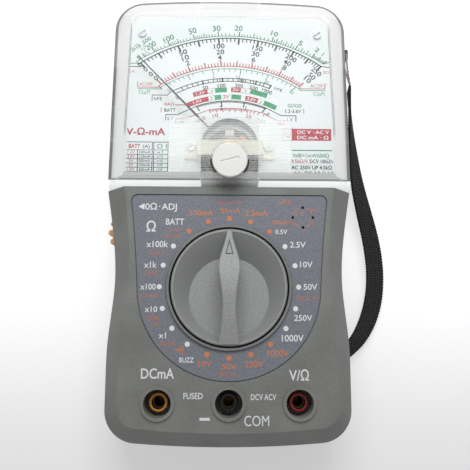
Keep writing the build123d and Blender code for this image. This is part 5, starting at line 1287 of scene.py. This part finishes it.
webbing = black_webbing()
flat_strap = weave_recipe().grown(
    straight_section(STRAP_LENGTH, webbing_core(), 160),
    Length=STRAP_LENGTH * MM, Width=STRAP_WIDTH * MM, Thickness=STRAP_THICKNESS * MM,
    Columns=WEAVE_COLUMNS, Rows=WEAVE_ROWS, YarnLength=YARN_LENGTH * MM, YarnWidth=YARN_WIDTH * MM,
    Slant=YARN_SLANT, Material=webbing,
)
lay = flat_strap.attributes.new("lay", "FLOAT_VECTOR", "POINT")
for vertex, kept in zip(flat_strap.vertices, lay.data):
    kept.vector = vertex.co
strap_mesh, strap_points = along_route(flat_strap, STRAP_ROUTE, STRAP_LENGTH, webbing)
strap = piece("wrist_strap", strap_mesh, webbing, "case")
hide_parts("strap")

yarn = twisted_thread()
straight_thread = straight_section(THREAD_LENGTH, two_ply(), 360, 2 * pi * THREAD_LENGTH / THREAD_LAY)
thread_mesh, thread_points = along_route(straight_thread, THREAD_ROUTE, THREAD_LENGTH, yarn)
thread = piece("lug_thread", thread_mesh, yarn, "case")
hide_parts("strap_thread")

# ---------------------------------------------------------------- floor, lamps and camera
WHITE = (1, 1, 1, 1)
FLOOR_HALF = 1.6
SKY_LIGHT = 0.35


def pale_floor():
    """Plain paper, lit a little from itself where it is seen, less toward the jacks."""
    paper = Finish("floor_paper", (206, 206, 206), 0.8)
    paper.drive("Base Color", paper.varied(paper.noise(40), 0.01))
    seen = paper.ray("Camera") | (paper.ray("Glossy") | paper.ray("Transmission"))
    paper.drive("Emission Strength", seen * paper.axis("Y").between(-0.11, 0.0, 0.38, 0.68))
    paper.drive("Emission Color", WHITE)
    mesh = bmesh.new()
    bmesh.ops.create_grid(mesh, x_segments=1, y_segments=1, size=FLOOR_HALF)
    data = plain(mesh)
    data.materials.append(paper.material)
    placed("floor", data)


def studio():
    """A white surround, dimmer as a light than where it is seen itself."""
    world = bpy.data.worlds.new("studio")
    world.use_nodes = True
    sky = Nodes(world.node_tree)
    background = sky.tree.nodes["Background"].inputs
    sky.feed(background["Color"], WHITE)
    sky.feed(background["Strength"], sky.ray("Camera").between(0, 1, SKY_LIGHT, 1.0, smooth=False))
    bpy.context.scene.world = world


def lamp(name, place, target, size, power):
    """A soft square lamp that points at a place, both in metres of the frame."""
    data = bpy.data.lights.new(name, "AREA")
    data.shape = "SQUARE"
    data.size = size
    data.energy = power
    made = placed(name, data)
    made.location = place
    made.rotation_euler = (Vector(target) - Vector(place)).to_track_quat("-Z", "Y").to_euler()


def camera(place, tilt, turn, roll, lens):
    """The camera, looking down at a place in millimetres, turned in degrees."""
    data = bpy.data.cameras.new("camera")
    data.sensor_width = 36
    data.lens = lens
    data.clip_start = 0.01
    made = placed("camera", data)
    turned = Matrix.Rotation(radians(roll), 3, "Z") @ Matrix.Rotation(radians(tilt), 3, "X")
    turned = turned @ Matrix.Rotation(radians(turn), 3, "Y")
    made.matrix_world = Matrix.Translation(at(*place)) @ turned.transposed().to_4x4()
    bpy.context.scene.camera = made


pale_floor()
studio()
lamp("overhead", place=(0.005, 0.225, 0.3), target=(0, 0, 0), size=0.26, power=0.8)
camera(place=(-2.29, -13.91, FACE + 211.97), tilt=-8.973, turn=1.192, roll=-0.13, lens=43.5)
bpy.context.scene.view_settings.view_transform = "Standard"
